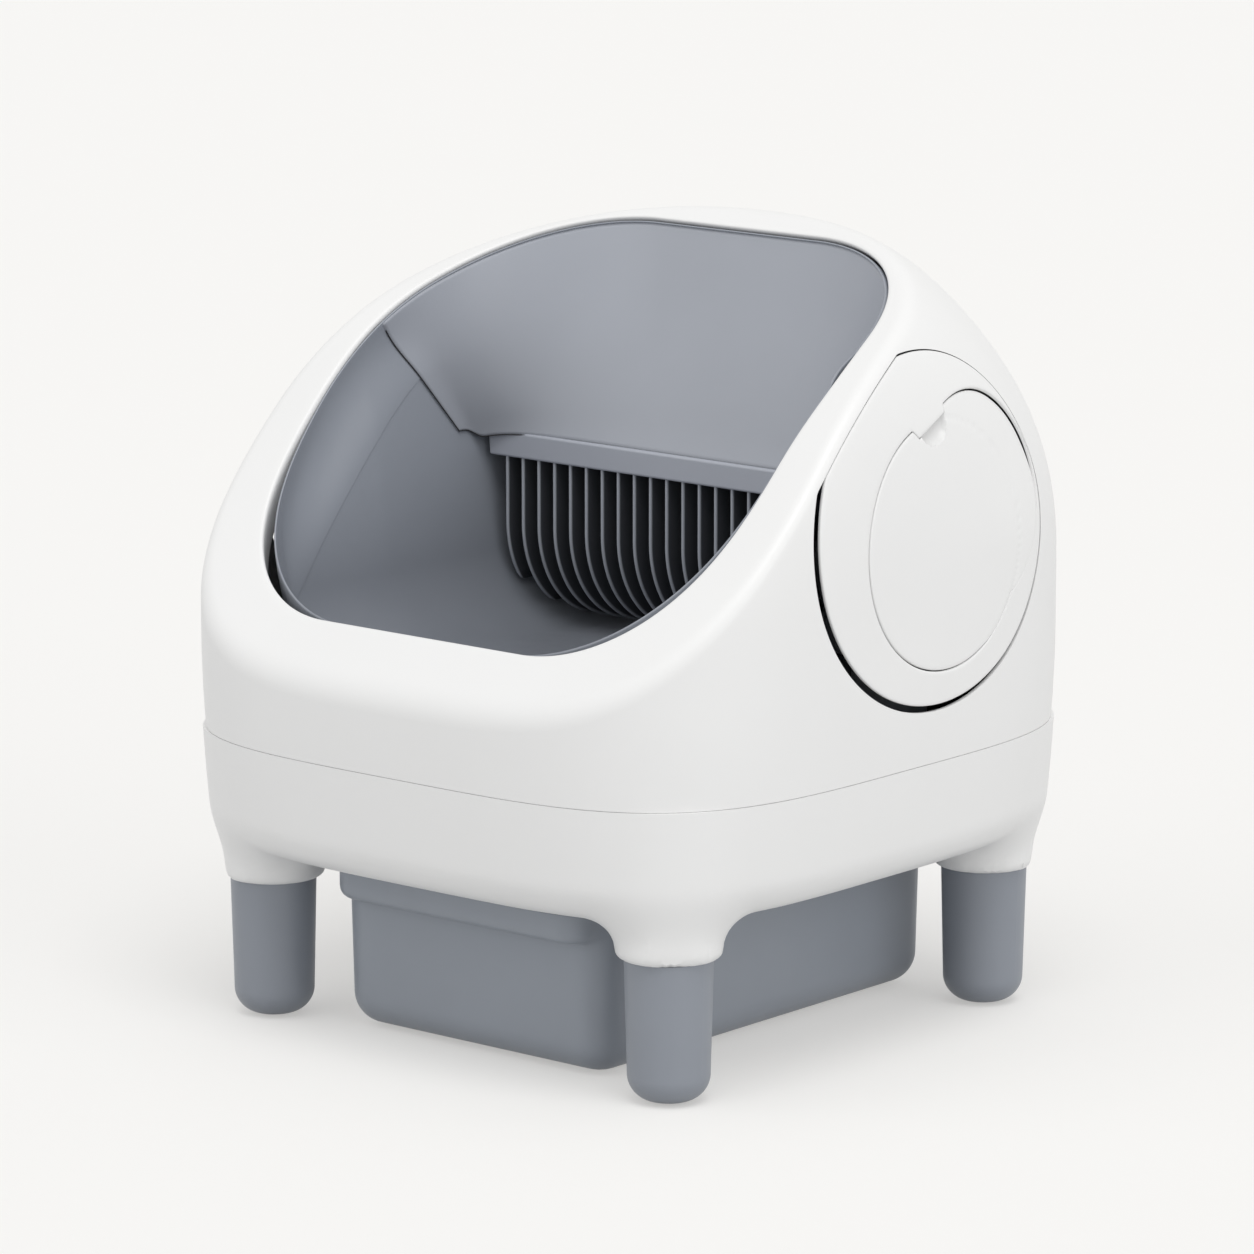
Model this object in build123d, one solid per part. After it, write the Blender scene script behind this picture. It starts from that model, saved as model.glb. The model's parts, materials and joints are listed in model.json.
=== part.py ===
from build123d import *
import math
import os

# Self-cleaning litter box: an open-topped shell on four legs, with a sifting drum that turns
# about the X axis and a waste bin that slides out to the front (-Y). Millimetres, Z up,
# origin on the floor below the middle of the body.

# Body outline: superellipse plan, widest at the waist, domed above it
WAIST_HALF = 275.5
WAIST_Z = 300.0
DOME_RISE = 311.0
DOME_POWER = 3.644
PLAN_POWER = 3.8
TOP_POWER = 2.05
POWER_FROM_Z = 362.0
POWER_TO_Z = 583.0
BELLY_CURVE = 0.00042
SKIRT_Z = 100.0
PLAN_POINTS = 40
DOME_STEPS = (0.0, 3.0, 10.0, 20.0, 32.0, 45.0, 57.0, 67.0, 75.0)
BELLY_LEVELS = (SKIRT_Z, 140.0, 182.0, 226.0, 264.0)
WALL = 3.0
BASE_Z = 137.0
BASE_ROUND = 30.0
BASE_STEPS = (90.0, 70.0, 50.0, 30.0, 10.0)
BASE_LEVELS = (182.0, 204.0, 228.0, 252.0)
SEAM_Z = 226.0
SEAM_GAP = 0.8
BAND_HEIGHT = 20.0
BAND_WALL = 2.5
FIT = 0.2

# Sloping rim: straight, bend, straight, seen from the side
RIM_START_Y = -268.0
RIM_START_Z = 296.0
RIM_LOW_SLOPE = 45.0
RIM_HIGH_SLOPE = 23.0
RIM_STRAIGHT = 232.0
RIM_BEND = 380.0
RIM_REACH = 400.0
RIM_ROUND = 7.0
RIM_RETURN = 24.0
CLEAR_TOP = 760.0

# Drum
DRUM_Y = -3.0
DRUM_Z = 386.0
DRUM_R = 239.0
DRUM_HALF = 218.0
DRUM_CORNER = 127.5
DRUM_WALL = 3.0
DRUM_GAP = 4.5
MOUTH_WIDEN = 4.5
DRUM_EDGE_DROP = 5.0

# Litter tray inside the drum
TRAY_WALL = 2.5
TRAY_FLOOR_Z = 264.0
TRAY_FLOOR_HALF = 191.0
TRAY_TOP_HALF = 212.0
TRAY_TOP_Z = 520.0
TRAY_CORNER = 68.0

# Sifting comb below its bar
COMB_Y = 76.0
BAR_TOP_Z = 417.0
BAR_HEIGHT = 20.0
BAR_DEPTH = 12.0
BAR_ROUND = 2.0
BLADE_COUNT = 24
BLADE_PITCH = 15.6
BLADE_THICK = 2.6
BLADE_DEPTH = 9.0
BLADE_STRAIGHT = 52.0
BLADE_BEND = 75.0
RAIL_DEPTH = 12.0
RAIL_HEIGHT = 8.0
SPINE_HEIGHT = 3.0

# Hood that closes the drum above the comb bar
HOOD_WALL = 2.5
HOOD_SIDE_Y = -43.0
HOOD_HOLLOW = 26.0
HOOD_ROWS = 5
HOOD_COLUMNS = 13
HOOD_FLAT = 0.42
HOOD_TOP_Y = 121.8

# Drum bearings and drive
HUB_FLANGE_R = 46.0
HUB_FLANGE = 5.0
STUB_R = 16.0
STUB_END = 238.0
RUN_CLEAR = 0.05
BUSH_WALL = 6.0
BUSH_COLLAR = 4.0
BUSH_COLLAR_THICK = 2.0
FRAME_X = 229.0
FRAME_THICK = 4.0
FRAME_FOOT_IN = 205.0
FRAME_FOOT_HALF = 95.0
FRAME_TOP_HALF = 42.0
FRAME_HEAD_R = 60.0
MODULE = 2.5
GEAR_TEETH = 84
PINION_TEETH = 14
GEAR_WIDTH = 7.5
GEAR_BORE_R = 86.0
TOOTH_ADDENDUM = 0.8
TOOTH_DEDENDUM = 1.1
TOOTH_ROOT_SHARE = 0.52
TOOTH_TIP_SHARE = 0.26
MESH_PLAY = 0.3
PINION_ANGLE = 230.0
PINION_SIDE_GAP = 1.5
PINION_SHAFT_R = 4.0
GEARBOX = 54.0
GEARBOX_DEEP = 24.0
GEARBOX_BORE_DEEP = 16.0
MOTOR_R = 12.5
MOTOR_LENGTH = 62.0
MOTOR_LOBE_R = 40.0

# Legs, feet and load cells
LEG_X = 196.0
LEG_Y = 188.7
LEG_TOP_R = 32.8
LEG_FOOT_R = 30.6
LEG_TOP_Z = 108.0
LEG_FOOT_Z = 1.0
LEG_ROUND = 20.0
SOCKET_R = 39.5
SOCKET_ROUND = 8.0
SOCKET_FLARE = 20.0
SOCKET_BITE = 1.5
SOCKET_TOP = 176.0
SOCKET_INSET = 0.4
SPIGOT_R = 26.0
PAD_R = 9.0
PAD_SINK = 3.0
CELL_LENGTH = 58.0
CELL_WIDTH = 16.0
CELL_HEIGHT = 10.0
CELL_OVERHANG = 9.0

# Waste funnel, bin and rails
CHUTE_X = 104.0
CHUTE_Y = 140.0
CHUTE_CORNER = 28.0
CHUTE_WALL = 2.5
CHUTE_SINK = 5.0
CHUTE_LIP = 12.0
FUNNEL_X = 218.0
FUNNEL_Y = 224.0
FUNNEL_CORNER = 95.0
FUNNEL_Z = 190.0
BIN_X = 134.0
BIN_FRONT = -188.0
BIN_BACK = 208.0
BIN_TOP = 128.0
BIN_FLOOR = 2.0
BIN_DRAFT = 3.0
BIN_CORNER = 24.0
BIN_ROUND = 21.0
BIN_WALL = 3.0
BIN_FLANGE = 8.0
BIN_FLANGE_Z = 121.0
LIP_FRONT = -206.0
LIP_HALF = 124.0
LIP_LOW = 104.0
LIP_ROUND = 15.0
LIP_WALL = 4.0
RAIL_WALL = 3.0
RAIL_LEDGE = 7.0
RAIL_PLAY = 0.6

# Round side covers with their lift-off lids
COVER_Y = 25.0
COVER_Z = 398.5
COVER_HALF_Y = 138.0
COVER_HALF_Z = 130.0
COVER_GAP = 2.0
COVER_SHIFT = 1.0
COVER_RIM_GAP = 7.5
COVER_DEEP = 6.0
COVER_CATCH = 8.0
CATCH_GAP = 0.8
LID_R = 93.6
LID_Y = 12.0
LID_Z = -10.5
SWEEP_R = 83.0
SWEEP_Y = 54.0
SWEEP_Z = 15.5
LID_GAP = 0.9
LID_TILT = 1.0
LID_PIVOT_Y = 160.0
LID_LEDGE = 7.0
LEDGE_THICK = 2.5
DIMPLE_R = 17.0
DIMPLE_X = 279.5
DIMPLE_Y = 8.0
DIMPLE_Z = 79.0
GROOVE_WIDTH = 1.2
GROOVE_DEEP = 0.8

# Electronics at the back and sides
SOCKET_X = 92.0
INLET_Z = 180.0
INLET_R = 9.0
INLET_RECESS = 1.6
INLET_HOLE_R = 4.0
INLET_HOLE_DEEP = 12.0
INLET_PIN_R = 1.0
BUTTON_X = 56.0
BUTTON_R = 7.0
BUTTON_LENGTH = 10.0
BUTTON_PROUD = 1.2
BUTTON_CLEAR = 0.4
SWITCH_SIZE = 14.0
SWITCH_GAP = 3.0
BRACKET_Y = 231.0
BRACKET_FOOT = 24.0
BOARD_X = -243.0
BOARD_LENGTH = 96.0
BOARD_HEIGHT = 64.0
BOARD_THICK = 1.6
BOARD_Z = 205.0
CHIP = 14.0
CHIP_HIGH = 3.0
POST_R = 3.0
MAGNET_R = 4.0
MAGNET_THICK = 3.0
MAGNET_ORBIT = 80.0
MAGNET_ANGLE = 250.0
SENSOR_SIZE = 12.0
SENSOR_THICK = 4.0

# Screws
SCREW_R = 2.0
SCREW_HEAD_R = 4.0
SCREW_HEAD = 3.0

WIDE = 900.0


def plan_power(z):
    """Squareness of the plan outline: square with round corners low down, round at the top."""
    share = min(max((z - POWER_FROM_Z) / (POWER_TO_Z - POWER_FROM_Z), 0), 1)
    return PLAN_POWER + (TOP_POWER - PLAN_POWER) * share ** 2 * (3 - 2 * share)


def plan_face(half, z):
    power = plan_power(z)
    points = []
    for i in range(PLAN_POINTS):
        turn = 2 * math.pi * i / PLAN_POINTS
        c, s = math.cos(turn), math.sin(turn)
        reach = half / (abs(c) ** power + abs(s) ** power) ** (1 / power)
        points.append((reach * c, reach * s))
    return Pos(0, 0, z) * make_face(Spline(points, periodic=True))


def belly_half(z):
    """Half width of the body at or below its waist."""
    return WAIST_HALF - BELLY_CURVE * (WAIST_Z - z) ** 2


def body(inset):
    """Solid of the outer form, moved in by the inset on its sides and its dome."""
    faces = [plan_face(belly_half(z) - inset, z) for z in BELLY_LEVELS]
    for step in DOME_STEPS:
        t = math.radians(step)
        z = WAIST_Z + (DOME_RISE - inset) * math.sin(t) ** (2 / DOME_POWER)
        faces.append(plan_face((WAIST_HALF - inset) * math.cos(t) ** (2 / DOME_POWER), z))
    return loft(faces)


def slab(low, high):
    return Pos(0, 0, (low + high) / 2) * Box(WIDE, WIDE, high - low)


def rim_line(inset):
    """Corner points of the side profile of the rim, lowered square to it by the inset."""
    low, high = math.radians(RIM_LOW_SLOPE), math.radians(RIM_HIGH_SLOPE)
    bend = RIM_BEND - inset
    start = Vector(RIM_START_Y + inset * math.sin(low), RIM_START_Z - inset * math.cos(low))
    along = Vector(math.cos(low), math.sin(low))
    first = start + along * RIM_STRAIGHT
    centre = first + Vector(math.sin(low), -math.cos(low)) * bend
    middle = centre + Vector(-math.sin((low + high) / 2), math.cos((low + high) / 2)) * bend
    second = centre + Vector(-math.sin(high), math.cos(high)) * bend
    front = start - along * RIM_REACH
    back = second + Vector(math.cos(high), math.sin(high)) * RIM_REACH
    return front, first, middle, second, back


def above_rim(inset):
    front, first, middle, second, back = rim_line(inset)
    outline = [
        Line(front, first),
        ThreePointArc(first, middle, second),
        Line(second, back),
        Polyline(back, (back.X, CLEAR_TOP), (front.X, CLEAR_TOP), front),
    ]
    return extrude(Plane.YZ * make_face(outline), amount=WIDE / 2, both=True)


def barrel(outset, widen=0.0):
    """Closed drum form about the drum's axis, moved out by the outset, and widened sideways."""
    half, radius = DRUM_HALF + outset + widen, DRUM_R + outset
    face = make_face(Polyline((-half, 0), (half, 0), (half, radius), (-half, radius), close=True))
    face = fillet(face.vertices().group_by(Axis.Y)[-1], DRUM_CORNER + outset)
    plane = Plane(origin=(0, DRUM_Y, DRUM_Z), x_dir=(1, 0, 0), z_dir=(0, -1, 0))
    return revolve(plane * face, axis=Axis((0, DRUM_Y, DRUM_Z), (1, 0, 0)))


def rod_x(radius, start, end, y, z):
    """Round bar along X between two X positions."""
    length = abs(end - start)
    return Pos((start + end) / 2, y, z) * Rot(0, 90, 0) * Cylinder(radius, length)


def rod_y(radius, start, end, x, z):
    length = abs(end - start)
    return Pos(x, (start + end) / 2, z) * Rot(90, 0, 0) * Cylinder(radius, length)


def rod_z(radius, low, high, x, y):
    return Pos(x, y, (low + high) / 2) * Cylinder(radius, high - low)


def span(x0, x1, y0, y1, z0, z1):
    centre = ((x0 + x1) / 2, (y0 + y1) / 2, (z0 + z1) / 2)
    return Pos(*centre) * Box(abs(x1 - x0), abs(y1 - y0), abs(z1 - z0))


def screw_z(x, y, seat, depth):
    """Pan-head screw pointing down from its seat."""
    return rod_z(SCREW_HEAD_R, seat, seat + SCREW_HEAD, x, y) + rod_z(SCREW_R, seat - depth, seat, x, y)


def other_side(shape):
    return mirror(shape, about=Plane.YZ)


def leg_places():
    return [(sx * LEG_X, sy * LEG_Y) for sx in (-1, 1) for sy in (-1, 1)]


def drum_angle_point(angle, radius):
    turn = math.radians(angle)
    return DRUM_Y + radius * math.cos(turn), DRUM_Z + radius * math.sin(turn)


def rounded_body():
    """Outer form above the seam with the sloping rim cut and its outer edge rounded."""
    form = body(0) - above_rim(0) - slab(0, SEAM_Z + SEAM_GAP / 2)
    skin = [f for f in form.faces() if f.geom_type == GeomType.BSPLINE]
    slope = [f for f in form.faces() if f not in skin and f.normal_at().Z > 0]
    crease = [e for e in form.edges() if touches(e, skin) and touches(e, slope)]
    return fillet(crease, RIM_ROUND)


def touches(edge, faces):
    return any((edge.center() - e.center()).length < FIT for f in faces for e in f.edges())


def upper_shell():
    form = rounded_body()
    mouth = barrel(DRUM_GAP + WALL, MOUTH_WIDEN) & above_rim(RIM_RETURN)
    hollow = body(WALL) - above_rim(WALL) - mouth
    shell = form - hollow - barrel(DRUM_GAP, MOUTH_WIDEN)
    hole = cover_rod(COVER_GAP, 0) - above_rim(COVER_RIM_GAP)
    return shell - hole - other_side(hole)


def socket(x, y):
    """Leg socket with a concave flare up to the base and a rounded lower edge."""
    low, top = LEG_TOP_Z, BASE_Z + SOCKET_BITE
    neck = top - SOCKET_FLARE
    wide = SOCKET_R + SOCKET_FLARE
    bow = SOCKET_FLARE * (1 - math.sqrt(0.5))
    curl = SOCKET_ROUND * (1 - math.sqrt(0.5))
    outline = [
        Line((0, low), (SOCKET_R - SOCKET_ROUND, low)),
        ThreePointArc(
            (SOCKET_R - SOCKET_ROUND, low),
            (SOCKET_R - curl, low + curl),
            (SOCKET_R, low + SOCKET_ROUND),
        ),
        Line((SOCKET_R, low + SOCKET_ROUND), (SOCKET_R, neck)),
        ThreePointArc((SOCKET_R, neck), (SOCKET_R + bow, top - bow), (wide, top)),
        Polyline((wide, top), (wide, SOCKET_TOP), (0, SOCKET_TOP), (0, low)),
    ]
    return Pos(x, y, 0) * revolve(Plane.XZ * make_face(outline), axis=Axis.Z)


def base_form(inset):
    """Lower body from its base to above the seam, with a rounded lower edge."""
    turn = BASE_ROUND - inset
    side = belly_half(BASE_Z + BASE_ROUND) - inset
    faces = []
    for step in BASE_STEPS:
        t = math.radians(step)
        faces.append(plan_face(side - turn * (1 - math.cos(t)), BASE_Z + inset + turn * (1 - math.sin(t))))
    for z in BASE_LEVELS:
        faces.append(plan_face(belly_half(z) - inset, z))
    return loft(faces)


def chute_column(outset, low, high):
    face = RectangleRounded(2 * (CHUTE_X + outset), 2 * (CHUTE_Y + outset), CHUTE_CORNER + outset)
    return extrude(Pos(0, 0, low) * face, amount=high - low)


def frame_screw_places():
    x = (FRAME_FOOT_IN + FRAME_X) / 2
    y = FRAME_FOOT_HALF * 0.8
    return [(sx * x, DRUM_Y + sy * y) for sx in (-1, 1) for sy in (-1, 1)]


def lower_shell():
    shell = base_form(0) - slab(SEAM_Z - SEAM_GAP / 2, CLEAR_TOP)
    outer = body(SOCKET_INSET)
    for x, y in leg_places():
        shell += socket(x, y) & outer
    shell -= base_form(WALL)
    shell -= body(WALL) & slab(SEAM_Z - BAND_HEIGHT / 2 - FIT, SEAM_Z)
    shell -= chute_column(CHUTE_WALL + FIT, SKIRT_Z, SEAM_Z)
    for x, y in leg_places():
        shell -= rod_z(SPIGOT_R + FIT, SKIRT_Z, BASE_Z + WALL, x, y)
    for x, y in frame_screw_places():
        shell -= rod_z(SCREW_R, SKIRT_Z, SEAM_Z, x, y)
    shell -= rod_y(INLET_R + FIT, 0, WIDE / 2, SOCKET_X, INLET_Z)
    shell -= rod_y(BUTTON_R + BUTTON_CLEAR, 0, WIDE / 2, BUTTON_X, INLET_Z)
    return shell


def seam_band():
    low, high = SEAM_Z - BAND_HEIGHT / 2, SEAM_Z + BAND_HEIGHT / 2
    return (body(WALL + FIT) - body(WALL + FIT + BAND_WALL)) & slab(low, high)


def leg(x, y):
    turn = LEG_ROUND * (1 - math.sqrt(0.5))
    outline = [
        Line((0, LEG_FOOT_Z), (LEG_FOOT_R - LEG_ROUND, LEG_FOOT_Z)),
        ThreePointArc(
            (LEG_FOOT_R - LEG_ROUND, LEG_FOOT_Z),
            (LEG_FOOT_R - turn, LEG_FOOT_Z + turn),
            (LEG_FOOT_R, LEG_FOOT_Z + LEG_ROUND),
        ),
        Polyline(
            (LEG_FOOT_R, LEG_FOOT_Z + LEG_ROUND),
            (LEG_TOP_R, LEG_TOP_Z),
            (SPIGOT_R, LEG_TOP_Z),
            (SPIGOT_R, BASE_Z + WALL),
            (0, BASE_Z + WALL),
            (0, LEG_FOOT_Z),
        ),
    ]
    form = revolve(Plane.XZ * make_face(outline), axis=Axis.Z)
    form -= rod_z(PAD_R, 0, LEG_FOOT_Z + PAD_SINK, 0, 0)
    form -= rod_z(SCREW_R, LEG_TOP_Z, BASE_Z + WALL, 0, 0)
    return Pos(x, y, 0) * form


def foot_pads():
    return [rod_z(PAD_R, 0, LEG_FOOT_Z + PAD_SINK, x, y) for x, y in leg_places()]


def load_cells():
    """Weighing beams from each leg top towards the middle, with a bending window."""
    low = BASE_Z + WALL
    beam = span(-CELL_OVERHANG, CELL_LENGTH, -CELL_WIDTH / 2, CELL_WIDTH / 2, low, low + CELL_HEIGHT)
    for x in (CELL_LENGTH * 0.5, CELL_LENGTH * 0.62):
        beam -= rod_y(CELL_HEIGHT * 0.3, -CELL_WIDTH, CELL_WIDTH, x, low + CELL_HEIGHT / 2)
    beam -= rod_z(SCREW_R, 0, SEAM_Z, 0, 0)
    return [Pos(x, y, 0) * Rot(0, 0, math.degrees(math.atan2(-y, -x))) * beam for x, y in leg_places()]


def leg_screws():
    seat = BASE_Z + WALL + CELL_HEIGHT
    return [screw_z(x, y, seat, seat - LEG_TOP_Z - FIT) for x, y in leg_places()]


def waste_chute():
    floor = BASE_Z + WALL
    wide = (2 * FUNNEL_X, 2 * FUNNEL_Y)
    slopes = []
    for wall in (CHUTE_WALL, 0):
        low = Pos(0, 0, floor) * RectangleRounded(
            2 * (CHUTE_X + wall), 2 * (CHUTE_Y + wall), CHUTE_CORNER + wall
        )
        top = Pos(0, 0, FUNNEL_Z) * RectangleRounded(
            wide[0] + 2 * wall, wide[1] + 2 * wall, FUNNEL_CORNER + wall
        )
        slopes.append(loft([low, top]))
    column = chute_column(CHUTE_WALL, BASE_Z - CHUTE_SINK, floor + CHUTE_WALL)
    lip = chute_column(CHUTE_LIP, floor, floor + CHUTE_WALL)
    return slopes[0] + column + lip - slopes[1] - chute_column(0, SKIRT_Z, floor)


def bin_rail():
    outer = BIN_X + BIN_FLANGE + RAIL_PLAY
    ledge_top = BIN_FLANGE_Z - RAIL_PLAY
    web = span(outer, outer + RAIL_WALL, BIN_FRONT + BIN_CORNER, BIN_BACK, ledge_top - RAIL_WALL, BASE_Z)
    ledge = span(
        outer - RAIL_LEDGE,
        outer,
        BIN_FRONT + BIN_CORNER,
        BIN_BACK,
        ledge_top - RAIL_WALL,
        ledge_top,
    )
    return web + ledge


def bin_form(inset):
    """Bin body with drafted sides and a rounded floor edge, moved in by the inset."""
    length = BIN_BACK - BIN_FRONT
    middle = (BIN_BACK + BIN_FRONT) / 2
    faces = []
    for z, draft in ((BIN_FLOOR + inset, BIN_DRAFT), (BIN_TOP, 0)):
        shrink = 2 * (draft + inset)
        corner = BIN_CORNER - inset
        faces.append(Pos(0, middle, z) * RectangleRounded(2 * BIN_X - shrink, length - shrink, corner))
    form = loft(faces)
    return fillet(form.edges().group_by(Axis.Z)[0], BIN_ROUND - inset)


def waste_bin():
    length = BIN_BACK - BIN_FRONT
    middle = (BIN_BACK + BIN_FRONT) / 2
    form = bin_form(0)
    flange = RectangleRounded(2 * (BIN_X + BIN_FLANGE), length - 2 * BIN_CORNER, BIN_FLANGE)
    form += extrude(Pos(0, middle, BIN_FLANGE_Z) * flange, amount=BIN_WALL)
    form += pull_lip(0, LIP_LOW)
    form -= bin_form(BIN_WALL)
    return form - (pull_lip(LIP_WALL, 0) & span(-WIDE, WIDE, -WIDE, BIN_FRONT, 0, BIN_TOP - LIP_WALL))


def pull_lip(inset, low):
    """Lip across the front of the bin, with rounded ends."""
    depth = BIN_FRONT + BIN_CORNER - LIP_FRONT
    face = RectangleRounded(2 * (LIP_HALF - inset), depth - 2 * inset, LIP_ROUND - inset)
    return extrude(Pos(0, LIP_FRONT + depth / 2, low) * face, amount=BIN_TOP - low)


def drum_barrel():
    shell = barrel(0) - barrel(-DRUM_WALL) - above_rim(DRUM_EDGE_DROP)
    for place in hub_screw_places():
        shell -= rod_x(SCREW_R, -WIDE, WIDE, *place)
    return shell


def hub_screw_places():
    orbit = (STUB_R + HUB_FLANGE_R) / 2
    return [drum_angle_point(angle, orbit) for angle in (45, 135, 225, 315)]


def tray_form(inset):
    """Room of the litter tray: leaning sides, rounded floor corners, open at the top."""
    rise = CLEAR_TOP - TRAY_TOP_Z
    lean = (TRAY_TOP_HALF - TRAY_FLOOR_HALF) / (TRAY_TOP_Z - TRAY_FLOOR_Z)
    low, top = TRAY_FLOOR_HALF - inset, TRAY_TOP_HALF - inset + lean * rise
    floor = TRAY_FLOOR_Z + inset
    face = make_face(Polyline((-low, floor), (low, floor), (top, CLEAR_TOP), (-top, CLEAR_TOP), close=True))
    face = fillet(face.vertices().group_by(Axis.Y)[0], TRAY_CORNER - inset)
    return extrude(Plane.XZ * face, amount=WIDE / 2, both=True)


def litter_tray():
    band = tray_form(-TRAY_WALL) - tray_form(0)
    return band & barrel(-DRUM_WALL - FIT) - above_rim(DRUM_EDGE_DROP)


def tray_room():
    """Room inside the tray and the barrel, just clear of both."""
    return tray_form(FIT) & barrel(-DRUM_WALL - FIT) - above_rim(DRUM_EDGE_DROP)


def comb_bar():
    half = TRAY_TOP_HALF
    low = BAR_TOP_Z - BAR_HEIGHT
    form = span(-half, half, COMB_Y - BAR_DEPTH / 2, COMB_Y + BAR_DEPTH / 2, low, BAR_TOP_Z)
    form = fillet(form.edges().filter_by(Axis.X), BAR_ROUND)
    return form & tray_room()


def blade():
    """Blade side face: straight below the bar, then bending back to the rail."""
    top = BAR_TOP_Z - BAR_HEIGHT
    knee = top - BLADE_STRAIGHT
    half = BLADE_DEPTH / 2
    edges = []
    for offset in (-half, half):
        bend = BLADE_BEND - offset
        start = (COMB_Y + offset, knee)
        centre = (COMB_Y + BLADE_BEND, knee)
        mid = (centre[0] - bend * math.sqrt(0.5), centre[1] - bend * math.sqrt(0.5))
        edges.append(Line((COMB_Y + offset, top), start))
        edges.append(ThreePointArc(start, mid, (centre[0], centre[1] - bend)))
    edges.append(Line((COMB_Y - half, top), (COMB_Y + half, top)))
    foot = COMB_Y + BLADE_BEND
    edges.append(Line((foot, knee - BLADE_BEND - half), (foot, knee - BLADE_BEND + half)))
    return extrude(Plane.YZ * make_face(edges), amount=BLADE_THICK / 2, both=True)


def sifting_comb():
    plate = blade()
    start = -BLADE_PITCH * (BLADE_COUNT - 1) / 2
    reach = -start + BLADE_THICK / 2
    foot = COMB_Y + BLADE_BEND
    low, top = TRAY_FLOOR_Z, BAR_TOP_Z - BAR_HEIGHT
    half = BLADE_DEPTH / 2
    comb = span(-reach, reach, foot - RAIL_DEPTH / 2, foot + RAIL_DEPTH / 2, low, low + RAIL_HEIGHT)
    comb += span(-reach, reach, COMB_Y - half, COMB_Y + half, top - SPINE_HEIGHT, top)
    for i in range(BLADE_COUNT):
        comb += Pos(start + i * BLADE_PITCH, 0, 0) * plate
    return comb & tray_room()


def rim_height(y, inset):
    """Height of the rim's side profile at a depth in Y."""
    front, first, middle, second, back = rim_line(inset)
    if y < first.X:
        return first.Y + (y - first.X) * math.tan(math.radians(RIM_LOW_SLOPE))
    if y > second.X:
        return second.Y + (y - second.X) * math.tan(math.radians(RIM_HIGH_SLOPE))
    low, bend = math.radians(RIM_LOW_SLOPE), RIM_BEND - inset
    centre_y, centre_z = first.X + bend * math.sin(low), first.Y - bend * math.cos(low)
    return centre_z + math.sqrt(bend ** 2 - (y - centre_y) ** 2)


def barrel_half(radius, inset):
    """Half width of the drum form at a distance from its axis."""
    corner = DRUM_CORNER - inset
    past = radius - (DRUM_R - DRUM_CORNER)
    flat = DRUM_HALF - DRUM_CORNER
    return flat + math.sqrt(max(corner ** 2 - max(past, 0) ** 2, 0))


def hood_edge(side):
    """Point of the hood's upper edge, where the drum's edge meets its wall; side runs -1 to 1."""
    share = abs(side)
    flat = DRUM_HALF - DRUM_CORNER
    top_y = HOOD_TOP_Y
    if share < HOOD_FLAT:
        return side / HOOD_FLAT * flat, top_y, rim_height(top_y, 0)
    bent = (share - HOOD_FLAT) / (1 - HOOD_FLAT)
    y = top_y - (top_y - HOOD_SIDE_Y) * bent ** 2
    z = rim_height(y, 0)
    x = barrel_half(math.hypot(y - DRUM_Y, z - DRUM_Z), DRUM_WALL)
    return math.copysign(x, side), y, z


def hood():
    """Hollow panel from the comb bar up to the drum's edge."""
    grid = []
    for i in range(HOOD_COLUMNS):
        side = 2 * i / (HOOD_COLUMNS - 1) - 1
        end = hood_edge(side)
        foot = (side * TRAY_TOP_HALF, COMB_Y, BAR_TOP_Z + HOOD_WALL)
        column = []
        for j in range(HOOD_ROWS):
            share = j / (HOOD_ROWS - 1)
            sag = HOOD_HOLLOW * math.sin(math.pi * share) * (1 - side ** 2)
            x, y, z = (a + (b - a) * share for a, b in zip(foot, end))
            column.append(Vector(x, y + sag, z))
        grid.append(column)
    panel = thicken(Face.make_surface_from_array_of_points(grid), HOOD_WALL / 2, both=True)
    return panel & tray_room()


def hub():
    flange = rod_x(HUB_FLANGE_R, DRUM_HALF, DRUM_HALF + HUB_FLANGE, DRUM_Y, DRUM_Z)
    form = flange + rod_x(STUB_R, DRUM_HALF, STUB_END, DRUM_Y, DRUM_Z)
    for place in hub_screw_places():
        form -= rod_x(SCREW_R, 0, WIDE, *place)
    return form


def hub_screws():
    seat = DRUM_HALF + HUB_FLANGE
    screws = []
    for place in hub_screw_places():
        head = rod_x(SCREW_HEAD_R, seat, seat + SCREW_HEAD, *place)
        screw = head + rod_x(SCREW_R, seat - HUB_FLANGE - DRUM_WALL, seat, *place)
        screws += [screw, other_side(screw)]
    return screws


def toothed_face(teeth, turn):
    """Gear outline in YZ about the origin, with one tooth centred at the turn angle."""
    pitch_r = MODULE * teeth / 2
    tip, root = pitch_r + MODULE * TOOTH_ADDENDUM, pitch_r - MODULE * TOOTH_DEDENDUM
    step = 2 * math.pi / teeth
    points = []
    for i in range(teeth):
        middle = math.radians(turn) + i * step
        for radius, share in (
            (root, -TOOTH_ROOT_SHARE),
            (tip, -TOOTH_TIP_SHARE),
            (tip, TOOTH_TIP_SHARE),
            (root, TOOTH_ROOT_SHARE),
        ):
            angle = middle + share * step / 2
            points.append((radius * math.cos(angle), radius * math.sin(angle)))
    return make_face(Polyline(*points, close=True))


def drum_gear():
    face = Plane.YZ * toothed_face(GEAR_TEETH, PINION_ANGLE)
    ring = Pos(DRUM_HALF, DRUM_Y, DRUM_Z) * extrude(face, amount=GEAR_WIDTH)
    return ring - rod_x(GEAR_BORE_R, 0, WIDE, DRUM_Y, DRUM_Z)


def pinion_place():
    return drum_angle_point(PINION_ANGLE, MODULE * (GEAR_TEETH + PINION_TEETH) / 2 + MESH_PLAY)


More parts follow.
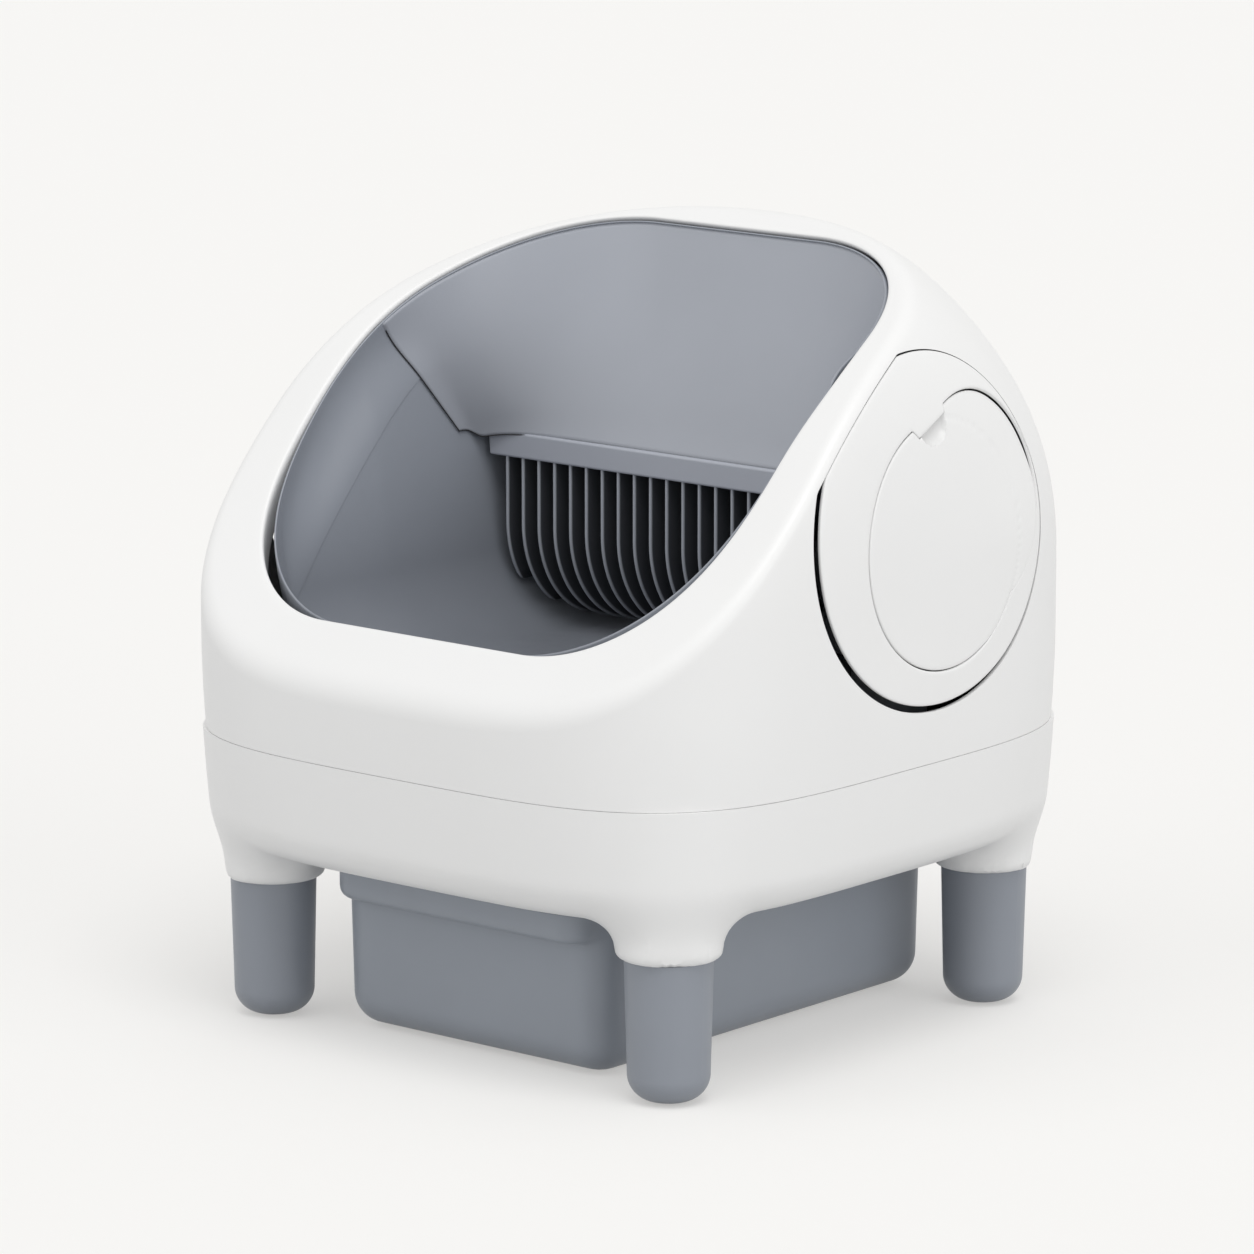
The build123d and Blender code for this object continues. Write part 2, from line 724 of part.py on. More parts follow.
def drive_pinion():
    y, z = pinion_place()
    half_step = 180.0 / PINION_TEETH
    face = Plane.YZ * toothed_face(PINION_TEETH, PINION_ANGLE + 180.0 + half_step)
    start = DRUM_HALF + PINION_SIDE_GAP
    form = Pos(start, y, z) * extrude(face, amount=GEAR_WIDTH - PINION_SIDE_GAP)
    return form - rod_x(PINION_SHAFT_R, 0, WIDE, y, z)


def pinion_shaft():
    end = FRAME_X + FRAME_THICK + GEARBOX_BORE_DEEP - FIT
    return rod_x(PINION_SHAFT_R, DRUM_HALF + PINION_SIDE_GAP, end, *pinion_place())


def side_frame():
    """Upright plate with a foot, carrying the drum's bush at its head."""
    floor = BASE_Z + WALL
    outline = Polyline(
        (DRUM_Y - FRAME_FOOT_HALF, floor + FIT),
        (DRUM_Y + FRAME_FOOT_HALF, floor + FIT),
        (DRUM_Y + FRAME_TOP_HALF, DRUM_Z),
        (DRUM_Y - FRAME_TOP_HALF, DRUM_Z),
        close=True,
    )
    plate = Pos(FRAME_X, 0, 0) * extrude(Plane.YZ * make_face(outline), amount=FRAME_THICK)
    plate += rod_x(FRAME_HEAD_R, FRAME_X, FRAME_X + FRAME_THICK, DRUM_Y, DRUM_Z)
    plate &= slab(floor + FRAME_THICK / 2, CLEAR_TOP)
    low, high = DRUM_Y - FRAME_FOOT_HALF, DRUM_Y + FRAME_FOOT_HALF
    plate += span(FRAME_FOOT_IN, FRAME_X + FRAME_THICK / 2, low, high, floor, floor + FRAME_THICK)
    for x, y in frame_screw_places():
        plate -= rod_z(SCREW_R, SKIRT_Z, SEAM_Z, x, y)
    return plate - rod_x(STUB_R + RUN_CLEAR + BUSH_WALL, 0, WIDE, DRUM_Y, DRUM_Z)


def motor_screw_places():
    y, z = pinion_place()
    reach = GEARBOX * 0.38
    return [(y + a * reach, z + b * reach) for a in (-1, 1) for b in (-1, 1)]


def drive_frame():
    y, z = pinion_place()
    frame = side_frame() + rod_x(MOTOR_LOBE_R, FRAME_X, FRAME_X + FRAME_THICK, y, z)
    for place in motor_screw_places():
        frame -= rod_x(SCREW_R, 0, WIDE, *place)
    return frame - rod_x(2 * PINION_SHAFT_R, 0, WIDE, y, z)


def bush():
    outer = STUB_R + RUN_CLEAR + BUSH_WALL
    form = rod_x(outer, FRAME_X, FRAME_X + FRAME_THICK + BUSH_COLLAR_THICK, DRUM_Y, DRUM_Z)
    form += rod_x(outer + BUSH_COLLAR, FRAME_X - BUSH_COLLAR_THICK, FRAME_X, DRUM_Y, DRUM_Z)
    return form - rod_x(STUB_R + RUN_CLEAR, 0, WIDE, DRUM_Y, DRUM_Z)


def gear_motor():
    y, z = pinion_place()
    seat = FRAME_X + FRAME_THICK
    half = GEARBOX / 2
    form = span(seat, seat + GEARBOX_DEEP, y - half, y + half, z - half, z + half)
    form = fillet(form.edges().filter_by(Axis.X), MOTOR_R / 2)
    form += rod_z(MOTOR_R, z - half - MOTOR_LENGTH, z - half, seat + MOTOR_R + FIT, y)
    for place in motor_screw_places():
        form -= rod_x(SCREW_R, 0, seat + GEARBOX_BORE_DEEP, *place)
    return form - rod_x(PINION_SHAFT_R + RUN_CLEAR, 0, seat + GEARBOX_BORE_DEEP, y, z)


def motor_screws():
    screws = []
    end = FRAME_X + FRAME_THICK + GEARBOX_BORE_DEEP - FIT
    for place in motor_screw_places():
        head = rod_x(SCREW_HEAD_R, FRAME_X - SCREW_HEAD, FRAME_X, *place)
        screws.append(head + rod_x(SCREW_R, FRAME_X, end, *place))
    return screws


def frame_screws():
    seat = BASE_Z + WALL + FRAME_THICK
    return [screw_z(x, y, seat, FRAME_THICK + WALL - FIT) for x, y in frame_screw_places()]


def cover_rod(outset, shift=COVER_SHIFT):
    """Plug of the cover's outline, from the middle of the body outwards."""
    outline = Ellipse(COVER_HALF_Y + outset, COVER_HALF_Z + outset)
    return extrude(Plane.YZ * Pos(COVER_Y + shift, COVER_Z + shift) * outline, amount=WIDE / 2)


def round_rod(outset):
    return rod_x(LID_R + outset, 0, WIDE / 2, COVER_Y + LID_Y, COVER_Z + LID_Z)


def sweep_rod(outset):
    return rod_x(SWEEP_R + outset, 0, WIDE / 2, COVER_Y + SWEEP_Y, COVER_Z + SWEEP_Z)


def lid_rod(outset):
    """Plug of the lid's outline: a round, and a second one that reaches up and back."""
    return round_rod(outset) + sweep_rod(outset)


def side_cover():
    """Oval cover, flush with the shell, with a ledge for its lid and a catch behind the shell."""
    back = body(COVER_DEEP)
    form = (body(0) & cover_rod(0)) + (body(WALL + CATCH_GAP) & cover_rod(COVER_CATCH))
    form -= lid_rod(-LID_LEDGE)
    form -= lid_rod(0) - back
    form -= back - lid_rod(LEDGE_THICK)
    form -= body(COVER_DEEP + LEDGE_THICK)
    return form - above_rim(COVER_RIM_GAP + CATCH_GAP)


def leaned(shape):
    pivot = Pos(WAIST_HALF, LID_PIVOT_Y, 0)
    return pivot * Rot(0, 0, -LID_TILT) * Pos(-WAIST_HALF, -LID_PIVOT_Y, 0) * shape


def side_lid():
    """Lid in the cover, leaning inwards to the front, with a groove and a finger dimple."""
    form = (leaned(body(0)) & lid_rod(-LID_GAP)) - body(COVER_DEEP - FIT)
    groove = (round_rod(0) - round_rod(-GROOVE_WIDTH)) & sweep_rod(-LID_LEDGE)
    form -= groove - leaned(body(GROOVE_DEEP))
    dimple = Pos(DIMPLE_X, COVER_Y + DIMPLE_Y, COVER_Z + DIMPLE_Z) * Sphere(DIMPLE_R)
    return form - dimple - above_rim(COVER_RIM_GAP + CATCH_GAP)


def wall_y(x, z):
    """Depth of the rear skin below the waist."""
    half = belly_half(z)
    return half * (1 - (x / half) ** PLAN_POWER) ** (1 / PLAN_POWER)


def power_bracket():
    floor = BASE_Z + WALL
    low, high = BUTTON_X - SWITCH_SIZE, SOCKET_X + SWITCH_SIZE
    upright = span(low, high, BRACKET_Y - WALL, BRACKET_Y, floor + FIT, INLET_Z + SWITCH_SIZE)
    return upright + span(low, high, BRACKET_Y - BRACKET_FOOT, BRACKET_Y, floor + FIT, floor + WALL)


def power_inlet():
    face = wall_y(SOCKET_X, INLET_Z) - INLET_RECESS
    form = rod_y(INLET_R, BRACKET_Y, face, SOCKET_X, INLET_Z)
    form -= rod_y(INLET_HOLE_R, face - INLET_HOLE_DEEP, face, SOCKET_X, INLET_Z)
    return form + rod_y(INLET_PIN_R, face - INLET_HOLE_DEEP, face - INLET_RECESS, SOCKET_X, INLET_Z)


def power_button():
    front = wall_y(BUTTON_X, INLET_Z) + BUTTON_PROUD
    cap = rod_y(BUTTON_R, front - BUTTON_LENGTH, front, BUTTON_X, INLET_Z)
    return fillet(cap.edges().group_by(Axis.Y)[-1], BUTTON_PROUD)


def power_switch():
    front = wall_y(BUTTON_X, INLET_Z) + BUTTON_PROUD - BUTTON_LENGTH - SWITCH_GAP
    half = SWITCH_SIZE / 2
    return span(BUTTON_X - half, BUTTON_X + half, BRACKET_Y, front, INLET_Z - half, INLET_Z + half)


def control_board():
    """Circuit board beside the left frame, with its larger parts on its outer face."""
    half_y, half_z = BOARD_LENGTH / 2, BOARD_HEIGHT / 2
    back = BOARD_X - BOARD_THICK
    low, high = BOARD_Z - half_z, BOARD_Z + half_z
    form = span(back, BOARD_X, DRUM_Y - half_y, DRUM_Y + half_y, low, high)
    for y in (DRUM_Y - half_y / 2, DRUM_Y, DRUM_Y + half_y / 2):
        form += span(back - CHIP_HIGH, back, y - CHIP / 2, y + CHIP / 2, BOARD_Z, BOARD_Z + CHIP)
    return form


def board_posts():
    reach_y, reach_z = BOARD_LENGTH / 2 - 2 * POST_R, BOARD_HEIGHT / 2 - 2 * POST_R
    posts = []
    for a in (-1, 1):
        for b in (-1, 1):
            place = (DRUM_Y + a * reach_y, BOARD_Z + b * reach_z)
            posts.append(rod_x(POST_R, BOARD_X, -FRAME_X - FRAME_THICK, *place))
    return posts


def index_magnet():
    place = drum_angle_point(MAGNET_ANGLE, MAGNET_ORBIT)
    return rod_x(MAGNET_R, -DRUM_HALF - MAGNET_THICK, -DRUM_HALF, *place)


def index_sensor():
    y, z = drum_angle_point(MAGNET_ANGLE, MAGNET_ORBIT)
    half = SENSOR_SIZE / 2
    return span(-FRAME_X, -FRAME_X + SENSOR_THICK, y - half, y + half, z - half, z + half)


def nodes():
    front_left, rear_left, front_right, rear_right = [leg(x, y) for x, y in leg_places()]
    cover, lid, rail = side_cover(), side_lid(), bin_rail()
    return {
        "upper_shell": upper_shell(),
        "lower_shell": lower_shell(),
        "seam_band": seam_band(),
        "leg_front_left": front_left,
        "leg_front_right": front_right,
        "leg_rear_left": rear_left,
        "leg_rear_right": rear_right,
        "foot_pads": foot_pads(),
        "load_cells": load_cells(),
        "leg_screws": leg_screws(),
        "waste_chute": waste_chute(),
        "bin_rail_left": other_side(rail),
        "bin_rail_right": rail,
        "waste_bin": waste_bin(),
        "drum_barrel": drum_barrel(),
        "litter_tray": litter_tray(),
        "drum_hood": hood(),
        "comb_bar": comb_bar(),
        "sifting_comb": sifting_comb(),
        "drum_hub_left": other_side(hub()),
        "drum_hub_right": hub(),
        "hub_screws": hub_screws(),
        "drum_gear": drum_gear(),
        "index_magnet": index_magnet(),
        "drive_pinion": drive_pinion(),
        "pinion_shaft": pinion_shaft(),
        "side_frame_left": other_side(side_frame()),
        "side_frame_right": drive_frame(),
        "bush_left": other_side(bush()),
        "bush_right": bush(),
        "frame_screws": frame_screws(),
        "gear_motor": gear_motor(),
        "motor_screws": motor_screws(),
        "side_cover_left": other_side(cover),
        "side_cover_right": cover,
        "side_lid_left": other_side(lid),
        "side_lid_right": lid,
        "power_bracket": power_bracket(),
        "power_inlet": power_inlet(),
        "power_button": power_button(),
        "power_switch": power_switch(),
        "control_board": control_board(),
        "board_posts": board_posts(),
        "index_sensor": index_sensor(),
    }


if __name__ == "__main__":
    os.makedirs("parts", exist_ok=True)
    for name, shape in nodes().items():
        solid = Compound(shape) if isinstance(shape, list) else shape
        export_step(solid, "parts/" + name + ".step")
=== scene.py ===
import json
import math
from contextlib import contextmanager
import bmesh
import bpy
import numpy as np
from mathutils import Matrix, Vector


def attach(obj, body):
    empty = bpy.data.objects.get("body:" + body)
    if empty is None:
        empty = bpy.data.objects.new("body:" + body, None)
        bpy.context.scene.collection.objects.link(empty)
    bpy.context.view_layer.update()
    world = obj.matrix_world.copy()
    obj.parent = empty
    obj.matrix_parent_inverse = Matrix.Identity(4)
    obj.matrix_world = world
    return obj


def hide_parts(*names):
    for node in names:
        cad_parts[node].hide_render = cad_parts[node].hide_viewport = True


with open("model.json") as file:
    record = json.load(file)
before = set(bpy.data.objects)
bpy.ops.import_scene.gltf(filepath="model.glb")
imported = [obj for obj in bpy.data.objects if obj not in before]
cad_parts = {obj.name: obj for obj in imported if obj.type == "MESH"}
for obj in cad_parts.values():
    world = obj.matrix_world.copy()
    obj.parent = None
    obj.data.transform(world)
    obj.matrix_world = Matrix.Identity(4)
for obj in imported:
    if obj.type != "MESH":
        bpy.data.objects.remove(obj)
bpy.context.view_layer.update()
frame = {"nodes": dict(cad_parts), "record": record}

cad = frame["nodes"]
scene = bpy.context.scene


# finishes

def newMaterial(name):
    mat = bpy.data.materials.new(name)
    mat.use_nodes = True
    tree = mat.node_tree
    shader = next(n for n in tree.nodes if n.type == "BSDF_PRINCIPLED")
    coords = tree.nodes.new("ShaderNodeTexCoord")
    return mat, tree, shader, coords.outputs["Object"]


def addNode(tree, kind, inputs, **settings):  # an input is a link from another node or a fixed value
    node = tree.nodes.new(kind)
    for name, value in settings.items():
        setattr(node, name, value)
    for key, value in inputs.items():
        if isinstance(value, bpy.types.NodeSocket):
            tree.links.new(value, node.inputs[key])
        else:
            node.inputs[key].default_value = value
    return node.outputs


def noiseNode(tree, where, scale, detail=3.0):
    fixed = {"Vector": where, "Scale": scale, "Detail": detail, "Roughness": 0.5}
    return addNode(tree, "ShaderNodeTexNoise", fixed)["Fac"]


def rampNode(tree, fac, low, high, lowAt=0.3, highAt=0.7):
    ramp = tree.nodes.new("ShaderNodeValToRGB")
    for element, colour, at in zip(ramp.color_ramp.elements, (low, high), (lowAt, highAt)):
        element.position = at
        element.color = (*colour, 1)
    tree.links.new(fac, ramp.inputs["Fac"])
    return ramp.outputs["Color"]


def rangeNode(tree, fac, low, high):
    fit = {"Value": fac, "From Min": 0.3, "From Max": 0.7, "To Min": low, "To Max": high}
    return addNode(tree, "ShaderNodeMapRange", fit)["Result"]


def paintedShadeNode(tree, where, tint, low, high, share):  # painted shade: darkens a colour towards a low height, where less light reaches
    height = addNode(tree, "ShaderNodeSeparateXYZ", {0: where})["Z"]
    fit = {"Value": height, "From Min": low, "From Max": high, "To Min": share}
    part = addNode(tree, "ShaderNodeMapRange", fit, interpolation_type="SMOOTHSTEP")["Result"]
    return vectorNode(tree, "SCALE", {0: tint, "Scale": part})[0]


def bumpNode(tree, height, strength, distance, under=None):
    inputs = {"Height": height, "Strength": strength, "Distance": distance}
    if under:
        inputs["Normal"] = under
    return addNode(tree, "ShaderNodeBump", inputs)["Normal"]


def vectorNode(tree, operation, inputs):
    return addNode(tree, "ShaderNodeVectorMath", inputs, operation=operation)


def mouldedPlastic(name, colour, vary=0.015, rough=(0.38, 0.46), grain=2600, relief=0.05, specular=0.42,
                   shadeByHeight=None):
    mat, tree, shader, where = newMaterial(name)
    low = [c * (1 - vary) for c in colour]
    high = [min(c * (1 + vary), 1) for c in colour]
    tint = rampNode(tree, noiseNode(tree, where, 9, 2), low, high)
    # optional painted shade: the colour darkens towards a low height
    tree.links.new(paintedShadeNode(tree, where, tint, *shadeByHeight) if shadeByHeight else tint, shader.inputs["Base Color"])
    tree.links.new(rangeNode(tree, noiseNode(tree, where, 60, 4), *rough), shader.inputs["Roughness"])
    fine = bumpNode(tree, noiseNode(tree, where, grain, 2), relief, 0.00006)
    tree.links.new(bumpNode(tree, noiseNode(tree, where, 14, 1), 0.03, 0.0006, fine), shader.inputs["Normal"])
    shader.inputs["Specular IOR Level"].default_value = specular
    return mat


def metalFinish(name, colour, rough=(0.22, 0.36), streak=900):
    mat, tree, shader, where = newMaterial(name)
    tint = rampNode(tree, noiseNode(tree, where, 120, 3), [c * 0.92 for c in colour], colour)
    tree.links.new(tint, shader.inputs["Base Color"])
    tree.links.new(rangeNode(tree, noiseNode(tree, where, streak, 2), *rough), shader.inputs["Roughness"])
    tree.links.new(bumpNode(tree, noiseNode(tree, where, streak, 2), 0.08, 0.00005), shader.inputs["Normal"])
    shader.inputs["Metallic"].default_value = 1.0
    return mat


def combWithPaintedShade(name, face, shade, bend):  # painted shade: the blades turn dark behind their light front edges, standing for the shade in the gaps
    mat, tree, shader, where = newMaterial(name)
    away = vectorNode(tree, "SUBTRACT", {0: (0, bend["y"], bend["z"]), 1: where})[0]
    flat = vectorNode(tree, "MULTIPLY", {0: away, 1: (0, 1, 1)})[0]
    below = vectorNode(tree, "MAXIMUM", {0: flat, 1: (0, 0, 0)})[0]
    reach = vectorNode(tree, "LENGTH", {0: below})["Value"]
    fit = {"Value": reach, "From Min": bend["from"], "From Max": bend["to"]}
    depth = addNode(tree, "ShaderNodeMapRange", fit)["Result"]
    tint = rampNode(tree, depth, shade, face, 0.0, 1.0)
    tree.links.new(tint, shader.inputs["Base Color"])
    tree.links.new(rangeNode(tree, noiseNode(tree, where, 60, 4), 0.34, 0.42), shader.inputs["Roughness"])
    tree.links.new(bumpNode(tree, noiseNode(tree, where, 2600, 2), 0.05, 0.00006), shader.inputs["Normal"])
    shader.inputs["Specular IOR Level"].default_value = 0.42
    return mat


finishes = {
    "shell_white": mouldedPlastic("shellWhite", (0.80, 0.80, 0.795), 0.006, (0.36, 0.44)),
    "drum_grey": mouldedPlastic("drumGrey", (0.285, 0.305, 0.345), 0.02, (0.34, 0.42)),
    "leg_grey": mouldedPlastic("legGrey", (0.250, 0.270, 0.305), 0.02, (0.40, 0.48)),
    "bin_grey": mouldedPlastic("binGrey", (0.285, 0.310, 0.350), 0.02, (0.40, 0.48)),
    "comb_grey": mouldedPlastic("combGrey", (0.40, 0.42, 0.47), 0.02, (0.34, 0.42)),
    "foot_rubber": mouldedPlastic("footRubber", (0.035, 0.035, 0.038), 0.1, (0.7, 0.85), 900, 0.15, 0.3),
    "beam_aluminium": metalFinish("beamAluminium", (0.72, 0.73, 0.75)),
    "screw_steel": metalFinish("screwSteel", (0.60, 0.61, 0.63)),
    "frame_grey": mouldedPlastic("frameGrey", (0.17, 0.18, 0.20), 0.03, (0.45, 0.55), 1400, 0.08),
    "gear_nylon": mouldedPlastic("gearNylon", (0.62, 0.61, 0.56), 0.03, (0.35, 0.45)),
    "motor_black": mouldedPlastic("motorBlack", (0.025, 0.025, 0.028), 0.1, (0.4, 0.5), 1400, 0.1),
    "button_grey": mouldedPlastic("buttonGrey", (0.17, 0.18, 0.20), 0.03, (0.4, 0.5)),
    "board_green": mouldedPlastic("boardGreen", (0.02, 0.11, 0.05), 0.08, (0.25, 0.35)),
    "post_brass": metalFinish("postBrass", (0.70, 0.52, 0.24)),
    "magnet_steel": metalFinish("magnetSteel", (0.68, 0.69, 0.70), (0.12, 0.2)),
}
# the hood is the drum's grey plastic: its lighter grey is painted light, and it darkens towards its foot as
# painted shade
hoodGreyPaintedLight = mouldedPlastic("hoodGreyPaintedLight", (0.385, 0.405, 0.450), 0.02, (0.34, 0.42), shadeByHeight=(0.405, 0.530, 0.84))
# the drum's grey plastic for its edge and tray, darkening towards the floor as painted shade
bowlGreyPaintedShade = mouldedPlastic("bowlGreyPaintedShade", (0.285, 0.305, 0.345), 0.02, (0.30, 0.38), shadeByHeight=(0.262, 0.400, 0.70))
combShadeBend = {"y": 0.151, "z": 0.345, "from": 0.0772, "to": 0.0788}  # middle of the blades' bend, and radii from it over which the painted shade gives way to the light front edges
# comb: front edges in the plastic's light grey, near-black painted shade on the blades behind them
combFrontAndShade = combWithPaintedShade("combFrontAndShade", (0.36, 0.38, 0.42), (0.045, 0.048, 0.055), combShadeBend)
for part in frame["record"]["subparts"]:
    node = cad[part["node"]]
    node.data.materials.clear()
    node.data.materials.append(finishes[part["material_slot"]])
print("finishes on the frame")


# outer form shared by the shells and the side covers

bodySpec = {"waistHalf": 0.2755, "waistZ": 0.300, "rise": 0.311, "domePower": 3.644, "belly": 0.42,
            "planPower": 3.8, "topPower": 2.05, "powerFrom": 0.362, "powerTo": 0.583,
            "seamZ": 0.226, "seamGap": 0.0003, "wall": 0.003}
rimSpec = {"startY": -0.268, "startZ": 0.296, "lowSlope": 45.0, "highSlope": 23.0,
           "straight": 0.232, "bend": 0.380}


def softStep(low, high, at):  # 0 up to low, 1 from high on
    share = np.clip((at - low) / (high - low), 0, 1)
    return share ** 2 * (3 - 2 * share)


def bodyHalf(z):
    lift = np.clip((z - bodySpec["waistZ"]) / bodySpec["rise"], 0, 1)
    dome = bodySpec["waistHalf"] * (1 - lift ** bodySpec["domePower"]) ** (1 / bodySpec["domePower"])
    drop = np.maximum(bodySpec["waistZ"] - z, 0)
    return dome - bodySpec["belly"] * drop ** 2


def planPowerAt(z):  # the plan turns from a soft square into a round towards the top
    share = softStep(bodySpec["powerFrom"], bodySpec["powerTo"], z)
    return bodySpec["planPower"] + (bodySpec["topPower"] - bodySpec["planPower"]) * share


def bodyReach(turn, z, inset=0.0):
    power = planPowerAt(z)
    shape = (np.abs(np.cos(turn)) ** power + np.abs(np.sin(turn)) ** power) ** (1 / power)
    return (bodyHalf(z) - inset) / shape


def sideX(y, z, inset=0.0):  # x of the right flank at a place in side view
    power = planPowerAt(z)
    half = bodyHalf(z) - inset
    return half * (1 - np.clip(np.abs(y) / half, 0, 1) ** power) ** (1 / power)


def rimHeight(y, drop=0.0):  # height of the rim's slope, or of one a depth below it, at a place front to back
    low, high = math.radians(rimSpec["lowSlope"]), math.radians(rimSpec["highSlope"])
    bend = rimSpec["bend"] - drop
    startY = rimSpec["startY"] + drop * math.sin(low)
    startZ = rimSpec["startZ"] - drop * math.cos(low)
    firstY = startY + rimSpec["straight"] * math.cos(low)
    firstZ = startZ + rimSpec["straight"] * math.sin(low)
    midY, midZ = firstY + bend * math.sin(low), firstZ - bend * math.cos(low)
    lastY, lastZ = midY - bend * math.sin(high), midZ + bend * math.cos(high)
    arc = midZ + np.sqrt(np.maximum(bend ** 2 - (y - midY) ** 2, 0))
    front = firstZ + (y - firstY) * math.tan(low)
    rear = lastZ + (y - lastY) * math.tan(high)
    return np.where(y < firstY, front, np.where(y > lastY, rear, arc))


def solveFor(low, high, sign):  # bisects each column to where sign turns from negative to positive
    low, high = low.copy(), high.copy()
    for _ in range(50):
        middle = (low + high) / 2
        over = sign(middle) > 0
        high = np.where(over, middle, high)
        low = np.where(over, low, middle)
    return (low + high) / 2


def reachTo(turn, past, far=0.30):  # distance along each direction to where past turns positive
    return solveFor(np.zeros_like(turn), np.full_like(turn, far), past)


def addObject(name, data):
    obj = bpy.data.objects.new(name, data)
    scene.collection.objects.link(obj)
    return obj


def meshOf(name, points, faces):
    mesh = bpy.data.meshes.new(name)
    mesh.from_pydata(points.tolist(), [], faces)
    return mesh


@contextmanager
def meshEdit(mesh):
    bm = bmesh.new()
    bm.from_mesh(mesh)
    yield bm
    bm.to_mesh(mesh)
    bm.free()


def loftMesh(name, rings):  # closed solid through rings of points, flat at both ends
    mesh = bpy.data.meshes.new(name)
    with meshEdit(mesh) as bm:
        loops = [[bm.verts.new(p) for p in ring] for ring in rings]
        for one, two in zip(loops[:-1], loops[1:]):
            for i in range(len(one)):
                n = (i + 1) % len(one)
                bm.faces.new((one[i], one[n], two[n], two[i]))
        bm.faces.new(loops[0])
        bm.faces.new(loops[-1])
        bmesh.ops.recalc_face_normals(bm, faces=bm.faces)
    return mesh


def smooth(mesh, sharp):  # soft shading, with edges where faces turn by more than an angle
    mesh.shade_smooth()
    mesh.set_sharp_from_angle(angle=math.radians(sharp))


def gridObject(name, rows, material, closeRows=True):  # rows: list of (columns, 3) rings
    count, columns = len(rows), len(rows[0])
    points = np.concatenate(rows)
    faces = []
    for r in range(count if closeRows else count - 1):
        here, there = r * columns, (r + 1) % count * columns
        for c in range(columns):
            n = (c + 1) % columns
            faces.append((here + c, here + n, there + n, there + c))
    return finishMesh(name, meshOf(name, points, faces), material)


def finishMesh(name, mesh, material, sharp=40):
    with meshEdit(mesh) as bm:
        bmesh.ops.remove_doubles(bm, verts=bm.verts, dist=1e-6)
        bmesh.ops.recalc_face_normals(bm, faces=bm.faces)
    smooth(mesh, sharp)
    mesh.materials.clear()
    mesh.materials.append(material)
    return addObject(name, mesh)


def applyModifiers(obj):
    graph = bpy.context.evaluated_depsgraph_get()
    mesh = bpy.data.meshes.new_from_object(obj.evaluated_get(graph))
    obj.modifiers.clear()
    obj.data = mesh
    return mesh


def addWall(obj, thick, offset):  # gives a sheet its thickness
    wall = obj.modifiers.new("wall", "SOLIDIFY")
    wall.thickness = thick
    wall.offset = offset
    applyModifiers(obj)


def settle(obj, body, slot, *nodes):
    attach(obj, body)
    if nodes:
        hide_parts(*nodes)
    return obj


def trimmed(path, fromStart, fromEnd, count):  # cuts lengths off both ends of each column, then resamples
    step = np.linalg.norm(np.diff(path, axis=1), axis=2)
    run = np.concatenate([np.zeros((len(path), 1)), np.cumsum(step, axis=1)], axis=1)
    out = np.empty((len(path), count, 2))
    for i in range(len(path)):
        at = np.linspace(fromStart[i], run[i, -1] - fromEnd[i], count)
        out[i, :, 0] = np.interp(at, run[i], path[i, :, 0])
        out[i, :, 1] = np.interp(at, run[i], path[i, :, 1])
    return out


def roundedCorner(before, corner, after, count):  # soft turn between two paths of (columns, 2) points
    t = np.linspace(0, 1, count + 2)[1:-1][None, :, None]
    return (1 - t) ** 2 * before[:, None] + 2 * t * (1 - t) * corner[:, None] + t ** 2 * after[:, None]


# upper shell: one closed wall, seam to rim to mouth and back down inside

upperSpec = {"columns": 440, "wallRows": 64, "bandRows": 9, "cornerRows": 9, "lipRows": 5, "returnRows": 5,
             "innerRows": 20, "outerRound": (0.010, 0.015), "mouthRound": 0.0045, "returnDeep": 0.024,
             "seamRound": 0.0003, "frontFrom": 0.10, "frontTo": 0.36}
drumSpec = {"y": -0.003, "z": 0.386, "radius": 0.239, "half": 0.218, "corner": 0.1275, "wall": 0.003,
            "gap": 0.0015, "widen": 0.006}
edgeSpec = {"half": 0.228, "corner": 0.150}  # rounder form that the drum's edge follows


def axisAway(y, z):  # distance from the drum's axis
    return np.hypot(y - drumSpec["y"], z - drumSpec["z"])


def barrelRadius(x, outset, widen=0.0):  # drum's radius at a place along its axis
    half, corner = drumSpec["half"] + outset + widen, drumSpec["corner"] + outset
    past = np.maximum(np.abs(x) - (half - corner), 0)
    return drumSpec["radius"] + outset - corner + np.sqrt(np.maximum(corner ** 2 - past ** 2, 0))


def edgeRadius(x, outset):  # radius of the drum's edge at a place along its axis
    corner = edgeSpec["corner"] + outset
    past = np.maximum(np.abs(x) - (edgeSpec["half"] - edgeSpec["corner"]), 0)
    return drumSpec["radius"] - edgeSpec["corner"] + np.sqrt(np.maximum(corner ** 2 - past ** 2, 0))


def evenTurns(count):  # plan angles at even steps along the waist outline
    turn = np.linspace(0, 2 * math.pi, 7201)
    reach = bodyReach(turn, np.full_like(turn, bodySpec["waistZ"]))
    step = np.hypot(np.diff(reach * np.cos(turn)), np.diff(reach * np.sin(turn)))
    run = np.concatenate([[0], np.cumsum(step)])
    return np.interp(np.linspace(0, run[-1], count + 1)[:-1], run, turn)


def mouthReach(turn, drop, outset):  # plan distance to the mouth's wall at a depth below the rim
    s, c = np.sin(turn), np.cos(turn)

    def past(rho, radius, half):
        y = rho * s
        return np.maximum(axisAway(y, rimHeight(y, drop)) - radius(rho * c), np.abs(rho * c) - half)
    wide, rounder = drumSpec["half"] + drumSpec["widen"] + outset, edgeSpec["half"] + outset
    widen = drumSpec["widen"]
    front = reachTo(turn, lambda r: past(r, lambda x: barrelRadius(x, outset, widen), wide))
    rear = reachTo(turn, lambda r: past(r, lambda x: edgeRadius(x, outset), rounder))
    return rear + (front - rear) * softStep(upperSpec["frontFrom"], upperSpec["frontTo"], -s)


